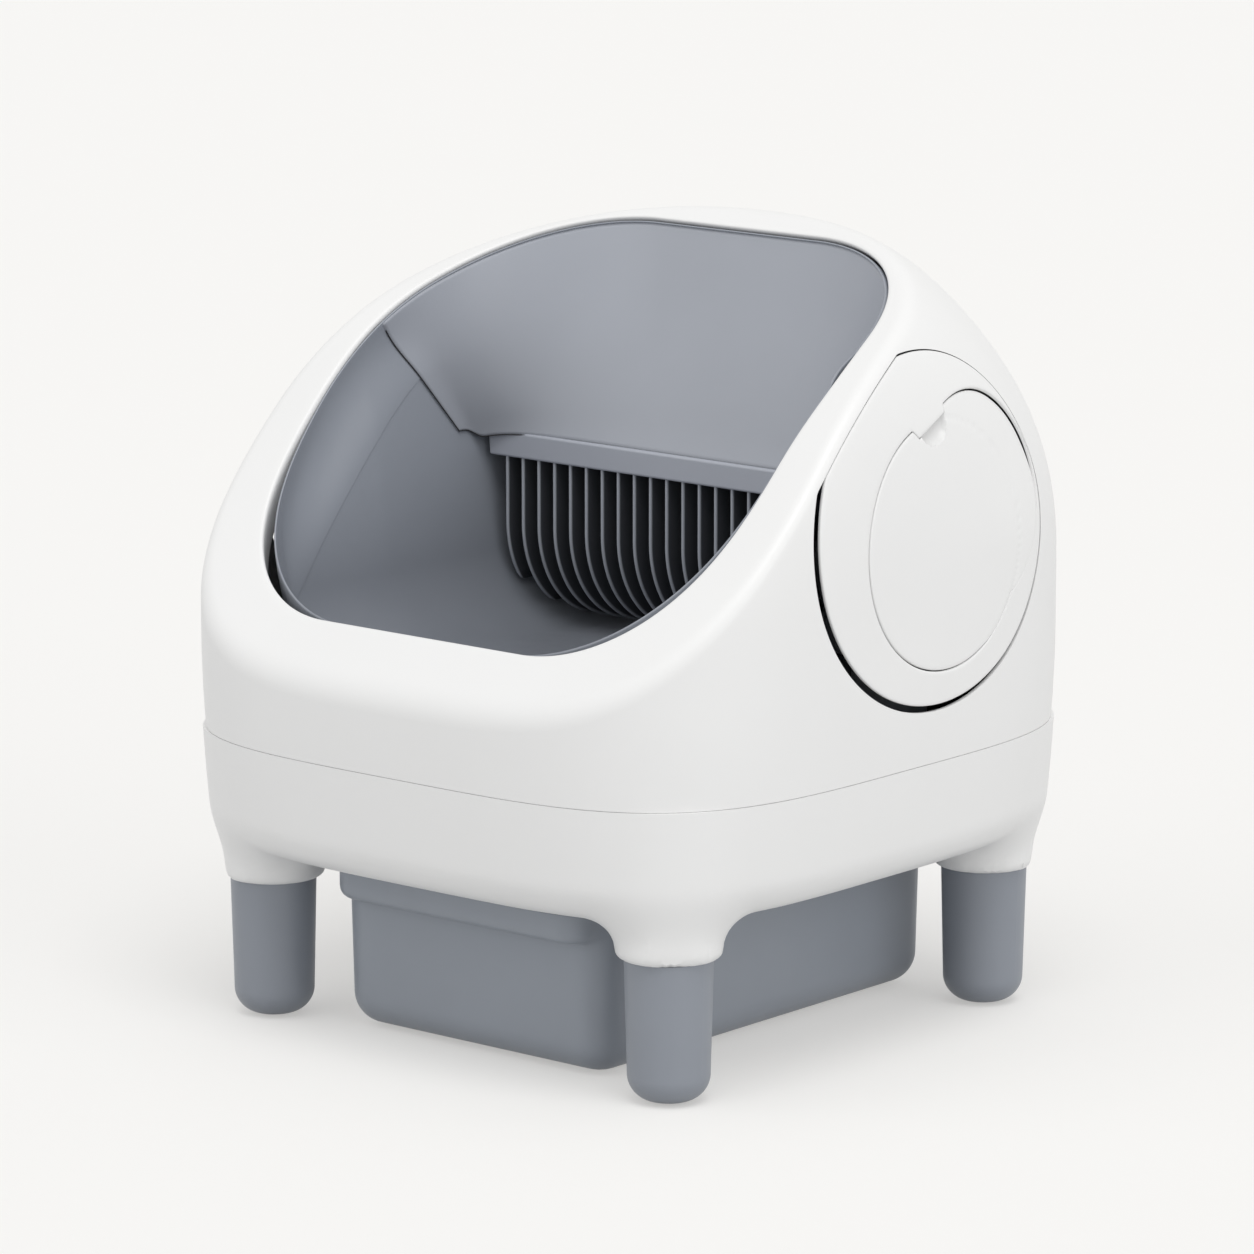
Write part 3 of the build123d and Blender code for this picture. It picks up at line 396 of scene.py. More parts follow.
def wallPath(turn, inset, drop, low, samples=500):  # outer wall of each column from the seam up to the rim
    s = np.sin(turn)
    high = 0.606 - inset  # just under the top of the dome
    top = solveFor(np.full_like(turn, low), np.full_like(turn, high),
                   lambda z: z - rimHeight(bodyReach(turn, z, inset) * s, drop))
    share = 1 - (1 - np.linspace(0, 1, samples)) ** 2.5
    z = low + (top - low)[:, None] * share[None]
    return np.stack([bodyReach(turn[:, None], z, inset), z], -1)


def mouthWall(turn, drops, outset):  # wall of the mouth through a row of depths below the rim
    reach = [mouthReach(turn, d, outset) for d in drops]
    return np.stack([np.stack([r, rimHeight(r * np.sin(turn), d)], -1) for r, d in zip(reach, drops)], 1)


def bandPath(turn, start, end, drop, samples=60):  # along the rim from one plan distance to another
    rho = start[:, None] + (end - start)[:, None] * np.linspace(0, 1, samples)[None]
    return np.stack([rho, rimHeight(rho * np.sin(turn)[:, None], drop)], -1)


def ringRows(turn, path):  # (columns, samples, 2) -> list of 3-D rings
    x, y = path[..., 0] * np.cos(turn)[:, None], path[..., 0] * np.sin(turn)[:, None]
    return [np.stack([x[:, i], y[:, i], path[:, i, 1]], -1) for i in range(path.shape[1])]


def makeUpperShell():
    spec = upperSpec
    turn = evenTurns(spec["columns"])
    low = bodySpec["seamZ"] + bodySpec["seamGap"] / 2
    outer = wallPath(turn, 0, 0, low)
    mouth = mouthReach(turn, 0.0, drumSpec["gap"])
    band = bandPath(turn, outer[:, -1, 0], mouth, 0.0)
    front = np.clip(-np.sin(turn), 0, 1) ** 2
    soft = spec["outerRound"][0] + (spec["outerRound"][1] - spec["outerRound"][0]) * front
    lip = np.full_like(turn, spec["mouthRound"])
    tiny = np.full_like(turn, spec["seamRound"])
    wall = trimmed(outer, tiny, soft, spec["wallRows"])
    flat = trimmed(band, soft, lip, spec["bandRows"])
    drops = np.linspace(spec["mouthRound"], spec["returnDeep"], spec["returnRows"])
    down = mouthWall(turn, drops, drumSpec["gap"])
    up = mouthWall(turn, drops[::-1], drumSpec["gap"] + bodySpec["wall"])
    inner = wallPath(turn, bodySpec["wall"], bodySpec["wall"], low)
    under = bandPath(turn, up[:, -1, 0], inner[:, -1, 0], bodySpec["wall"])
    under = trimmed(under, tiny * 2, tiny * 2, 4)
    inside = trimmed(inner[:, ::-1], tiny * 2, tiny * 0, spec["innerRows"])
    foot = outer[:, 0] - np.stack([tiny, tiny * 0], -1)
    shoulder = roundedCorner(wall[:, -1], outer[:, -1], flat[:, 0], spec["cornerRows"])
    brow = roundedCorner(flat[:, -1], band[:, -1], down[:, 0], spec["lipRows"])
    path = np.concatenate([foot[:, None], wall, shoulder, flat, brow, down, up, under, inside], 1)
    return gridObject("upperShell", ringRows(turn, path), finishes["shell_white"])


upperShell = makeUpperShell()


# oval side covers: outlines in side view, (y, z) pairs round a middle point

coverSpec = {"middle": (0.025, 0.3985), "half": (0.138, 0.130), "gap": (0.0038, 0.0026), "deep": 0.0024,
             "shift": (0.0032, 0.0018), "rimGap": 0.0075, "rimPlay": 0.0008, "hub": (0.045, 0.398),
             "lid": (0.037, 0.388, 0.0936), "sweep": (0.079, 0.414, 0.083), "points": 360,
             "cut": (0.20, 0.30)}


def rayOut(turn, circle, hub):  # distance from the hub to a circle along each direction
    y, z, radius = circle
    dy, dz = hub[0] - y, hub[1] - z
    b = dy * np.cos(turn) + dz * np.sin(turn)
    return -b + np.sqrt(np.maximum(b ** 2 - (dy ** 2 + dz ** 2 - radius ** 2), 0))


def fromHub(turn, reach):  # y and z at a distance from the hub
    return coverSpec["hub"][0] + reach * np.cos(turn), coverSpec["hub"][1] + reach * np.sin(turn)


def ovalOut(turn, outset, shift, rimGap):  # distance from the hub to the cover's outline, kept below the rim
    spec = coverSpec
    hub = spec["hub"]
    dy, dz = hub[0] - spec["middle"][0] - shift[0], hub[1] - spec["middle"][1] - shift[1]
    a, b = spec["half"][0] + outset[0], spec["half"][1] + outset[1]
    c, s = np.cos(turn), np.sin(turn)
    qa = c ** 2 / a ** 2 + s ** 2 / b ** 2
    qb = dy * c / a ** 2 + dz * s / b ** 2
    qc = dy ** 2 / a ** 2 + dz ** 2 / b ** 2 - 1
    oval = (-qb + np.sqrt(qb ** 2 - qa * qc)) / qa
    rim = reachTo(turn, lambda r: hub[1] + r * s - rimHeight(hub[0] + r * c, rimGap), 0.4)
    return np.minimum(oval, rim)


def cutPrism(obj, outline, axis, low, high):  # cuts a straight-sided hole along an axis; outline: (points, 2)
    rings = [np.insert(outline, axis, at, axis=1) for at in (low, high)]
    cutter = addObject("holeCutter", loftMesh("holeCutter", rings))
    cut = obj.modifiers.new("hole", "BOOLEAN")
    cut.operation = "DIFFERENCE"
    cut.solver = "EXACT"
    cut.object = cutter
    applyModifiers(obj)
    bpy.data.objects.remove(cutter)
    smooth(obj.data, 35)


def cutCoverHoles(shell):
    spec = coverSpec
    turn = np.linspace(0, 2 * math.pi, spec["points"], endpoint=False)
    out = ovalOut(turn, spec["gap"], (0, 0), spec["rimGap"])
    outline = np.stack(fromHub(turn, out), -1)
    for side in (-1, 1):
        cutPrism(shell, outline, 0, *[side * x for x in spec["cut"]])


cutCoverHoles(upperShell)
settle(upperShell, "housing", "shell_white", "upper_shell")
print("upper shell", len(upperShell.data.polygons))


# cover rings and lids on both flanks

ringSpec = {"edge": 0.0014, "edgeRows": 4, "rows": 14, "sides": 480}
lidSpec = {"gap": 0.0009, "edge": 0.0012, "deep": 0.0036, "rows": 40,
           "grooveWide": 0.0010, "grooveDeep": 0.0007,
           "flush": (-0.95, 0.10), "flushFade": 0.35, "flushGap": 0.06,
           "sink": 0.0030, "sinkZ": (0.375, 0.455), "sinkY": 0.12, "sinkLeast": 0.08}
tabSpec = {"points": ((0.0035, 0.4780), (0.0120, 0.4700), (0.0455, 0.4840), (0.0470, 0.4945))}  # y, z corners
scoopSpec = {"middle": (0.030, 0.4815), "radius": 0.0185, "deep": 0.0085}


def wrapped(turn):  # the same direction between -pi and pi
    return (turn + math.pi) % (2 * math.pi) - math.pi


def lidOut(turn):  # distance from the hub to the opening in the cover ring, straight across the tab
    hub = coverSpec["hub"]
    out = np.maximum(rayOut(turn, coverSpec["lid"], hub), rayOut(turn, coverSpec["sweep"], hub))
    points = [(y - hub[0], z - hub[1]) for y, z in tabSpec["points"]]
    corners = sorted((math.atan2(z, y), y, z) for y, z in points)
    at = wrapped(turn)
    tab = np.full_like(turn, 1.0)
    for (a0, y0, z0), (a1, y1, z1) in zip(corners[:-1], corners[1:]):
        dy, dz = y1 - y0, z1 - z0
        cut = (y0 * dz - z0 * dy) / (np.cos(at) * dz - np.sin(at) * dy)
        tab = np.where((at >= a0) & (at <= a1), cut, tab)
    inTab = (at > corners[0][0]) & (at < corners[-1][0])
    return np.where(inTab, np.minimum(out, tab), out)


def lidOpen(turn):  # 1 where the lid stands free of its cover, near 0 where the two are flush
    low, high = lidSpec["flush"]
    away = np.maximum(np.maximum(low - wrapped(turn), wrapped(turn) - high), 0)
    return lidSpec["flushGap"] + (1 - lidSpec["flushGap"]) * softStep(0, lidSpec["flushFade"], away)


def ringTurns():  # directions from the hub, with extra ones at the tab's corners
    hub = coverSpec["hub"]
    turn = list(np.linspace(-math.pi, math.pi, ringSpec["sides"], endpoint=False))
    turn += [math.atan2(z - hub[1], y - hub[0]) for y, z in tabSpec["points"]]
    return np.array(sorted(turn))


def flankPoint(turn, reach, sink):  # point on the right flank, sunk square to it
    y, z = fromHub(turn, reach)
    step = 0.0005
    slopeY = (sideX(y + step, z) - sideX(y - step, z)) / (2 * step)
    slopeZ = (sideX(y, z + step) - sideX(y, z - step)) / (2 * step)
    size = np.sqrt(1 + slopeY ** 2 + slopeZ ** 2)
    return np.stack([sideX(y, z) - sink / size, y + sink * slopeY / size, z + sink * slopeZ / size], -1)


def quarterTurn(edge, rows):  # (inwards, down) steps of a rounded edge, from the flat to the side
    t = np.linspace(0, math.pi / 2, rows)
    return [(edge * (1 - math.sin(a)), edge * (1 - math.cos(a))) for a in t]


def makeCover(side, word):
    turn = ringTurns()
    inner = lidOut(turn)
    outer = ovalOut(turn, (0, 0), coverSpec["shift"], coverSpec["rimGap"] + coverSpec["rimPlay"])
    edge, deep, free = ringSpec["edge"], coverSpec["deep"], lidOpen(turn)
    steps = quarterTurn(edge, ringSpec["edgeRows"])
    rows = [flankPoint(turn, inner, deep)]
    rows += [flankPoint(turn, inner + away * free, down * free) for away, down in reversed(steps)]
    start = inner + edge * free
    for share in np.linspace(0, 1, ringSpec["rows"])[1:-1]:
        rows.append(flankPoint(turn, start + (outer - edge - start) * share, 0))
    rows += [flankPoint(turn, outer - away, down) for away, down in steps]
    rows.append(flankPoint(turn, outer, deep))
    return gridObject("sideCover" + word, [row * (side, 1, 1) for row in rows], finishes["shell_white"])


def lidSink(turn, reach):  # how deep the lid's face lies at a place
    y, z = fromHub(turn, reach)
    far = np.clip(y / lidSpec["sinkY"], lidSpec["sinkLeast"], 1)
    sink = lidSpec["sink"] * far * softStep(*lidSpec["sinkZ"], z)
    away = np.hypot(y - coverSpec["lid"][0], z - coverSpec["lid"][1]) - coverSpec["lid"][2]
    groove = lidSpec["grooveDeep"] * np.exp(-(away / lidSpec["grooveWide"]) ** 2)
    scoop = np.hypot(y - scoopSpec["middle"][0], z - scoopSpec["middle"][1]) / scoopSpec["radius"]
    dip = scoopSpec["deep"] * np.sqrt(np.maximum(1 - scoop ** 2, 0))
    return sink + groove + dip


def makeLid(side, word):
    turn = ringTurns()
    free = lidOpen(turn)
    outer = lidOut(turn) - lidSpec["gap"] * free
    edge, deep = lidSpec["edge"] * free, lidSpec["deep"]
    shares = list(np.linspace(0.02, 1, lidSpec["rows"]))
    rows = [flankPoint(turn, (outer - edge) * s, lidSink(turn, (outer - edge) * s)) for s in shares]
    sunk = lidSink(turn, outer - edge)
    for away, down in quarterTurn(lidSpec["edge"], 4)[1:]:
        rows.append(flankPoint(turn, outer - away * free, sunk + down * free))
    rows.append(flankPoint(turn, outer, sunk + deep))
    rows += [flankPoint(turn, outer * s, lidSink(turn, outer * s) + deep) for s in (0.8, 0.6, 0.4, 0.2, 0.02)]
    rows = [row * (side, 1, 1) for row in rows]
    obj = gridObject("sideLid" + word, rows, finishes["shell_white"], closeRows=False)
    with meshEdit(obj.data) as bm:
        bmesh.ops.holes_fill(bm, edges=[e for e in bm.edges if e.is_boundary])
        bmesh.ops.recalc_face_normals(bm, faces=bm.faces)
    smooth(obj.data, 40)
    return obj


for side, word in ((-1, "left"), (1, "right")):
    settle(makeCover(side, word.title()), "housing", "shell_white", "side_cover_" + word)
    settle(makeLid(side, word.title()), "lid_" + word, "shell_white", "side_lid_" + word)
print("side covers and lids")


# lower shell: tub with leg sockets that grow out of its corners, meshed from a distance field

lowerSpec = {"baseZ": 0.137, "baseRound": 0.030, "legs": (0.196, 0.1887), "fillet": 0.024,
             "socketR": 0.0395, "socketZ": 0.108, "socketRound": 0.006, "postIn": 0.001, "postRound": 0.004,
             "cell": 0.0042, "wall": 0.003,
             "chute": (0.1067, 0.1427, 0.0307), "chuteZ": 0.16,  # half width and length, corner
             "rear": ((0.092, 0.180, 0.0092), (0.056, 0.180, 0.0074)), "rearY": (0.24, 0.30)}  # x, z, radius


def roundedBoth(a, b, radius):  # inside both, with a rounded edge between them
    qa, qb = a + radius, b + radius
    return np.hypot(np.maximum(qa, 0), np.maximum(qb, 0)) + np.minimum(np.maximum(qa, qb), 0) - radius


def filletedEither(a, b, radius):  # inside either, with a filled corner between them
    ua, ub = np.maximum(radius - a, 0), np.maximum(radius - b, 0)
    return np.maximum(radius, np.minimum(a, b)) - np.hypot(ua, ub)


def tubDistance(x, y, z):
    spec = lowerSpec
    power = bodySpec["planPower"]
    ax, ay = np.abs(x) + 1e-9, np.abs(y) + 1e-9
    span = (ax ** power + ay ** power) ** (1 / power)
    slope = np.hypot((ax / span) ** (power - 1), (ay / span) ** (power - 1))
    wallAway = (span - bodyHalf(z)) / slope
    tub = roundedBoth(wallAway, spec["baseZ"] - z, spec["baseRound"])
    ring = np.hypot(ax - spec["legs"][0], ay - spec["legs"][1]) - spec["socketR"]
    post = roundedBoth(ring, spec["socketZ"] - z, spec["socketRound"])
    post = roundedBoth(post, wallAway - spec["postIn"], spec["postRound"])
    return filletedEither(tub, post, spec["fillet"])


def fieldMesh(field, low, high, cell):  # surface net of a field's zero level, then pulled onto it
    axes = [np.arange(a, b + cell, cell) for a, b in zip(low, high)]
    gx, gy, gz = np.meshgrid(*axes, indexing="ij")
    value = field(gx, gy, gz)
    inside = value < 0
    ends = (slice(0, -1), slice(1, None))
    corners = np.stack([inside[i, j, k] for i in ends for j in ends for k in ends], 0)
    mixed = corners.any(0) & ~corners.all(0)
    index = np.full(mixed.shape, -1)
    index[mixed] = np.arange(mixed.sum())
    cells = np.argwhere(mixed)
    points = np.stack([axes[d][cells[:, d]] + cell / 2 for d in range(3)], -1)
    faces = []
    for d in range(3):
        a, b = [e for e in range(3) if e != d]
        first = [slice(None)] * 3
        second = [slice(None)] * 3
        first[d], second[d] = slice(0, -1), slice(1, None)
        for e in (a, b):
            first[e] = second[e] = slice(1, -1)
        crossed = np.argwhere(inside[tuple(first)] != inside[tuple(second)])
        crossed[:, a] += 1
        crossed[:, b] += 1
        quads = []
        for da, db in ((-1, -1), (0, -1), (0, 0), (-1, 0)):
            at = crossed.copy()
            at[:, a] += da
            at[:, b] += db
            quads.append(index[tuple(at.T)])
        faces.append(np.stack(quads, -1))
    faces = np.concatenate(faces)
    step = cell * 0.05
    for _ in range(12):
        here = field(*points.T)
        rise = [field(*(points + o).T) - field(*(points - o).T) for o in np.eye(3) * step]
        slope = np.stack(rise, -1) / (2 * step)
        points = points - slope * (here / np.maximum((slope ** 2).sum(1), 1e-9))[:, None] * 0.7
    return points, faces[(faces >= 0).all(1)]


def fieldShell(name, field, low, high, spec, top, material):  # open-topped shell of a field's zero level
    points, faces = fieldMesh(field, low, high, spec["cell"])
    mesh = meshOf(name, points, faces.tolist())
    with meshEdit(mesh) as bm:
        bmesh.ops.recalc_face_normals(bm, faces=bm.faces)
        every = bm.verts[:] + bm.edges[:] + bm.faces[:]
        bmesh.ops.bisect_plane(bm, geom=every, plane_co=(0, 0, top), plane_no=(0, 0, 1), clear_outer=True)
    obj = finishMesh(name, mesh, material)
    addWall(obj, spec["wall"], -1)
    return obj


def makeLowerShell():
    spec = lowerSpec
    top = bodySpec["seamZ"] - bodySpec["seamGap"] / 2
    reach = bodySpec["waistHalf"] + 0.01
    low, high = (-reach, -reach, spec["socketZ"] - 0.012), (reach, reach, top + 0.016)
    obj = fieldShell("lowerShell", tubDistance, low, high, spec, top, finishes["shell_white"])
    halfX, halfY, corner = spec["chute"]
    turn = np.linspace(0, 2 * math.pi, 64, endpoint=False)
    c, s = np.cos(turn), np.sin(turn)
    x, y = np.sign(c) * (halfX - corner) + corner * c, np.sign(s) * (halfY - corner) + corner * s
    cutPrism(obj, np.stack([x, y], -1), 2, spec["socketZ"], spec["chuteZ"])
    for x, z, radius in spec["rear"]:
        cutPrism(obj, np.stack([x + radius * c, z + radius * s], -1), 1, *spec["rearY"])
    return obj


lowerShell = makeLowerShell()
settle(lowerShell, "housing", "shell_white", "lower_shell")
print("lower shell", len(lowerShell.data.polygons))


# waste bin with its pull lip

binSpec = {"half": 0.134, "front": -0.188, "back": 0.208, "low": 0.002, "top": 0.128, "corner": 0.030,
           "round": 0.024, "draft": 0.003, "fillet": 0.004, "cell": 0.004, "wall": 0.003,
           "lipHalf": 0.124, "lipFront": -0.206, "lipBack": -0.150, "lipLow": 0.104,
           "lipCorner": 0.022, "lipRound": 0.010, "overlap": 0.001,
           "flange": (0.142, -0.164, 0.184, 0.121, 0.124)}  # reach, front, back, underside, top


def roundedPlan(x, y, halfX, front, back, corner):  # distance to an upright block with rounded corners
    qx = np.abs(x) - halfX + corner
    qy = np.abs(y - (front + back) / 2) - (back - front) / 2 + corner
    return np.hypot(np.maximum(qx, 0), np.maximum(qy, 0)) + np.minimum(np.maximum(qx, qy), 0) - corner


def binDistance(x, y, z):
    spec = binSpec
    draft = spec["draft"] * (spec["top"] - z) / (spec["top"] - spec["low"])
    body = roundedPlan(x, y, spec["half"], spec["front"], spec["back"], spec["corner"]) + draft
    body = roundedBoth(body, spec["low"] - z, spec["round"])
    lip = roundedPlan(x, y, spec["lipHalf"], spec["lipFront"], spec["lipBack"], spec["lipCorner"])
    return filletedEither(body, roundedBoth(lip, spec["lipLow"] - z, spec["lipRound"]), spec["fillet"])


def makeBin():
    spec = binSpec
    low = (-spec["half"] - 0.01, spec["lipFront"] - 0.01, spec["low"] - 0.01)
    high = (spec["half"] + 0.01, spec["back"] + 0.01, spec["top"] + 0.012)
    obj = fieldShell("wasteBin", binDistance, low, high, spec, spec["top"], finishes["bin_grey"])
    reach, front, back, under, over = spec["flange"]
    root = spec["half"] - spec["overlap"]
    with meshEdit(obj.data) as bm:
        for side in (-1, 1):
            for v in bmesh.ops.create_cube(bm, size=1)["verts"]:
                v.co.x = side * (root if v.co.x * side < 0 else reach)
                v.co.y = front if v.co.y < 0 else back
                v.co.z = under if v.co.z < 0 else over
    return obj


settle(makeBin(), "bin", "bin_grey", "waste_bin")
print("waste bin")


# drum edge, hood and comb

lipSpec = {"columns": 360, "rows": 22, "top": (0.0030, 0.0034), "deep": 0.064, "outside": 0.062,
           "round": 0.0008, "thick": 0.0016, "outset": -0.0002, "behind": 0.0006, "proud": 0.0004}
traySpec = {"floorZ": 0.264, "floorHalf": 0.191, "topZ": 0.520, "topHalf": 0.2265, "corner": 0.068,
            "from": -0.150, "to": -0.050}


def edgeX(y, z, outset):  # half width of the drum's edge form at a place in side view
    corner = edgeSpec["corner"] + outset
    past = np.maximum(axisAway(y, z) - drumSpec["radius"] + edgeSpec["corner"], 0)
    return edgeSpec["half"] - edgeSpec["corner"] + np.sqrt(np.maximum(corner ** 2 - past ** 2, 0))


def trayHalf(z, y=None):  # half width between the tray's sides; with y, leaning to meet the drum's edge there
    lean = (traySpec["topHalf"] - traySpec["floorHalf"]) / (traySpec["topZ"] - traySpec["floorZ"])
    plain = traySpec["floorHalf"] + lean * (z - traySpec["floorZ"])
    if y is None:
        return plain
    at = np.clip(y, traySpec["from"], traySpec["to"])
    top = rimHeight(at, lipSpec["top"][0])
    miss = edgeX(at, top, lipSpec["outset"] - lipSpec["thick"]) - trayHalf(top)
    return plain + miss * np.clip((z - traySpec["floorZ"]) / (top - traySpec["floorZ"]), 0, 1)


gearSpec = {"half": 0.2175, "gearIn": 0.1095, "gearOut": 0.126,
            "pinionFrom": -0.060, "pinionTo": -0.014}  # room for the drive on the right


def sideLimit(x, y, z):  # half width that the drum's walls keep to, narrower beside the gear and the pinion
    spec = gearSpec
    past = softStep(spec["gearIn"], spec["gearOut"], axisAway(y, z))
    ahead = softStep(-spec["pinionTo"], -spec["pinionFrom"], -y)
    right = spec["half"] + (edgeSpec["half"] - spec["half"]) * np.minimum(past, ahead)
    return np.where(x > 0, right, edgeSpec["half"])


def edgeReach(turn, drop, outset, side=None):  # plan distance to the drum's edge form or a nearer side wall
    s, c = np.sin(turn), np.cos(turn)

    def past(rho):
        y = rho * s
        z = rimHeight(y, drop)
        half = sideLimit(c, y, z) + outset
        if side:
            half = np.minimum(half, side(z, y))
        return np.maximum(axisAway(y, z) - edgeRadius(rho * c, outset), np.abs(rho * c) - half)
    return reachTo(turn, past)


def rimPoints(turn, rho, drop):
    y = rho * np.sin(turn)
    return np.stack([rho * np.cos(turn), y, rimHeight(y, drop)], -1)


def eased(share):  # 1 at the rim, 0 at the end of the flare
    return (1 - share) ** 2 * (1 + 2 * share)


def lipTop(turn):  # how far the drum's edge lies below the rim
    return lipSpec["top"][0] + lipSpec["top"][1] * np.clip(-np.sin(turn), 0, 1) ** 2


def flareReach(turn, drop):  # plan distance to the inner face between the drum's edge and its bowl
    spec = lipSpec
    inset = drumSpec["wall"] + spec["behind"]
    start = lipTop(turn) + spec["round"]
    share = np.clip((drop - start) / (spec["deep"] - start), 0, 1)
    edge = edgeReach(turn, drop, spec["outset"] - spec["thick"])
    bowl = edgeReach(turn, drop, -inset, lambda z, y: trayHalf(z, y) - spec["behind"])
    return bowl + (edge - bowl) * eased(share)


def makeDrumLip():
    spec = lipSpec
    turn = evenTurns(spec["columns"])
    top = lipTop(turn)
    soft, thick = spec["round"], spec["thick"]
    rows = []
    for share in np.linspace(1, 0, 9)[:-1]:
        drop = top + soft + (spec["outside"] - top - soft) * share
        edge = edgeReach(turn, drop, spec["outset"])
        wall = edgeReach(turn, drop, spec["proud"], lambda z, y: drumSpec["half"] + spec["proud"])
        rows.append(rimPoints(turn, wall + (edge - wall) * eased(share), drop))
    steps = [(soft * (1 - math.sin(a)), soft * (1 - math.cos(a))) for a in np.linspace(0, math.pi / 2, 5)]
    for a in np.linspace(0, math.pi / 2, 5):
        steps.append((soft * (1 - math.cos(a)), thick - soft * (1 - math.sin(a))))
    for down, inwards in steps:
        rows.append(rimPoints(turn, edgeReach(turn, top + down, spec["outset"] - inwards), top + down))
    for share in np.linspace(0, 1, spec["rows"])[1:]:
        drop = top + soft + (spec["deep"] - top - soft) * share
        rows.append(rimPoints(turn, flareReach(turn, drop), drop))
    return gridObject("drumLip", rows, bowlGreyPaintedShade)


settle(makeDrumLip(), "drum", "drum_grey")

barrelSpec = {"columns": 150, "drop": (0.058, 0.120), "sideFrom": 0.185, "sideTo": 0.208, "wall": 0.0026}
bowlSpec = {"columns": 120, "drop": 0.060, "wall": 0.0025, "top": 0.487, "play": 0.0004}


def openGrid(name, grid, thick, material):  # grid: (rows, columns, 3), thickened away from the drum's middle
    rows, columns = grid.shape[:2]
    faces = [(r * columns + c, r * columns + c + 1, (r + 1) * columns + c + 1, (r + 1) * columns + c)
             for r in range(rows - 1) for c in range(columns - 1)]
    obj = finishMesh(name, meshOf(name, grid.reshape(-1, 3), faces), material)
    face = obj.data.polygons[len(obj.data.polygons) // 2]
    inwards = Vector((0, drumSpec["y"], drumSpec["z"])) - face.center
    addWall(obj, thick, -1 if face.normal.dot(inwards) > 0 else 1)
    return obj


def makeBarrel():
    spec = barrelSpec
    half = drumSpec["half"] - spec["wall"]
    bend = half * np.sin(np.linspace(math.pi / 2, 0, 44))
    x = np.concatenate([np.full(7, half), bend])
    cap = np.linspace(0.001, edgeRadius(half, -spec["wall"]), 8)[:-1]
    r = np.concatenate([cap, edgeRadius(bend, -spec["wall"])])
    x, r = np.concatenate([x, -x[-2::-1]]), np.concatenate([r, r[-2::-1]])

    share = np.clip((np.abs(x) - spec["sideFrom"]) / (spec["sideTo"] - spec["sideFrom"]), 0, 1)
    drop = spec["drop"][0] + (spec["drop"][1] - spec["drop"][0]) * share

    def over(angle):
        return drumSpec["z"] + r * np.sin(angle) - rimHeight(drumSpec["y"] + r * np.cos(angle), drop)
    tries = np.radians(np.linspace(60, 190, 600))
    rise = np.stack([over(np.full_like(r, a)) for a in tries])
    middle = tries[rise.argmax(0)]
    closed = rise.max(0) <= 0
    front = solveFor(np.full_like(r, math.radians(270)), middle, over)
    rear = solveFor(np.full_like(r, math.radians(-90)), middle, over)
    front, rear = np.where(closed, middle, front), np.where(closed, middle, rear) + 2 * math.pi
    angle = front[:, None] + (rear - front)[:, None] * np.linspace(0, 1, spec["columns"])[None]
    y, z = drumSpec["y"] + r[:, None] * np.cos(angle), drumSpec["z"] + r[:, None] * np.sin(angle)
    grid = np.stack([np.broadcast_to(x[:, None], y.shape), y, z], -1)
    return openGrid("drumBarrel", grid, spec["wall"], finishes["drum_grey"])


def makeTray():
    spec = bowlSpec
    lean = math.atan((traySpec["topHalf"] - traySpec["floorHalf"]) / (traySpec["topZ"] - traySpec["floorZ"]))
    corner, low = traySpec["corner"], traySpec["floorZ"]
    turn = np.linspace(lean, math.pi / 2, 26)
    hub = trayHalf(low + corner) - corner / math.cos(lean)
    wallZ = np.linspace(spec["top"], low + corner - corner * math.sin(lean), 30)[:-1]
    z = np.concatenate([wallZ, low + corner * (1 - np.sin(turn)), np.full(12, low)])
    x = np.concatenate([trayHalf(wallZ), hub + corner * np.cos(turn), np.linspace(hub, 0, 13)[1:]])
    x, z = np.concatenate([x, -x[-2::-1]]), np.concatenate([z, z[-2::-1]])
    radius = edgeRadius(x, -drumSpec["wall"] - spec["play"])
    reach = np.sqrt(np.maximum(radius ** 2 - (z - drumSpec["z"]) ** 2, 0))
    profileY = np.linspace(-0.30, 0.30, 2400)
    rimY = np.interp(z, rimHeight(profileY, spec["drop"]), profileY)
    start = np.maximum(drumSpec["y"] - reach, rimY)
    end = np.maximum(drumSpec["y"] + reach, start)
    y = start[:, None] + (end - start)[:, None] * np.linspace(0, 1, spec["columns"])[None]
    x, z = x[:, None] + 0 * y, z[:, None] + 0 * y
    x = x + np.sign(x) * (trayHalf(z, y) - trayHalf(z))
    x = np.minimum(x, sideLimit(x, y, z) - drumSpec["wall"])
    return openGrid("litterTray", np.stack([x, y, z], -1), spec["wall"], bowlGreyPaintedShade)


settle(makeBarrel(), "drum", "drum_grey", "drum_barrel")
settle(makeTray(), "drum", "drum_grey", "litter_tray")

hoodSpec = {"columns": 170, "rows": 50, "wall": 0.0025, "seamTop": 188.5, "drop": 0.0045, "outset": -0.0016,
            "foot": (0.2110, 0.0425, 0.0760, 0.4166), "footPower": 4.0,  # half width, y at ends and middle, z
            "sag": 0.010, "toe": 0.0015, "toeTop": 0.12, "dip": 0.007, "lift": 0.0085, "liftFrom": 0.955,
            "clear": 0.0008, "shadowCord": 0.0005}


def evenAlong(points, count):  # even steps along a line of points
    run = np.concatenate([[0], np.cumsum(np.linalg.norm(np.diff(points, axis=0), axis=1))])
    at = np.linspace(0, run[-1], count)
    return np.stack([np.interp(at, run, points[:, d]) for d in range(3)], -1)


def wallX(y, z, side):  # inner face of the drum's flare and tray at a place in side view
    drop = solveFor(np.full_like(z, -0.01), np.full_like(z, 0.2), lambda d: z - rimHeight(y, d))
    x = trayHalf(z)
    for _ in range(8):
        x = np.sqrt(flareReach(np.arctan2(y, side * x), drop) ** 2 - y ** 2)
    return x


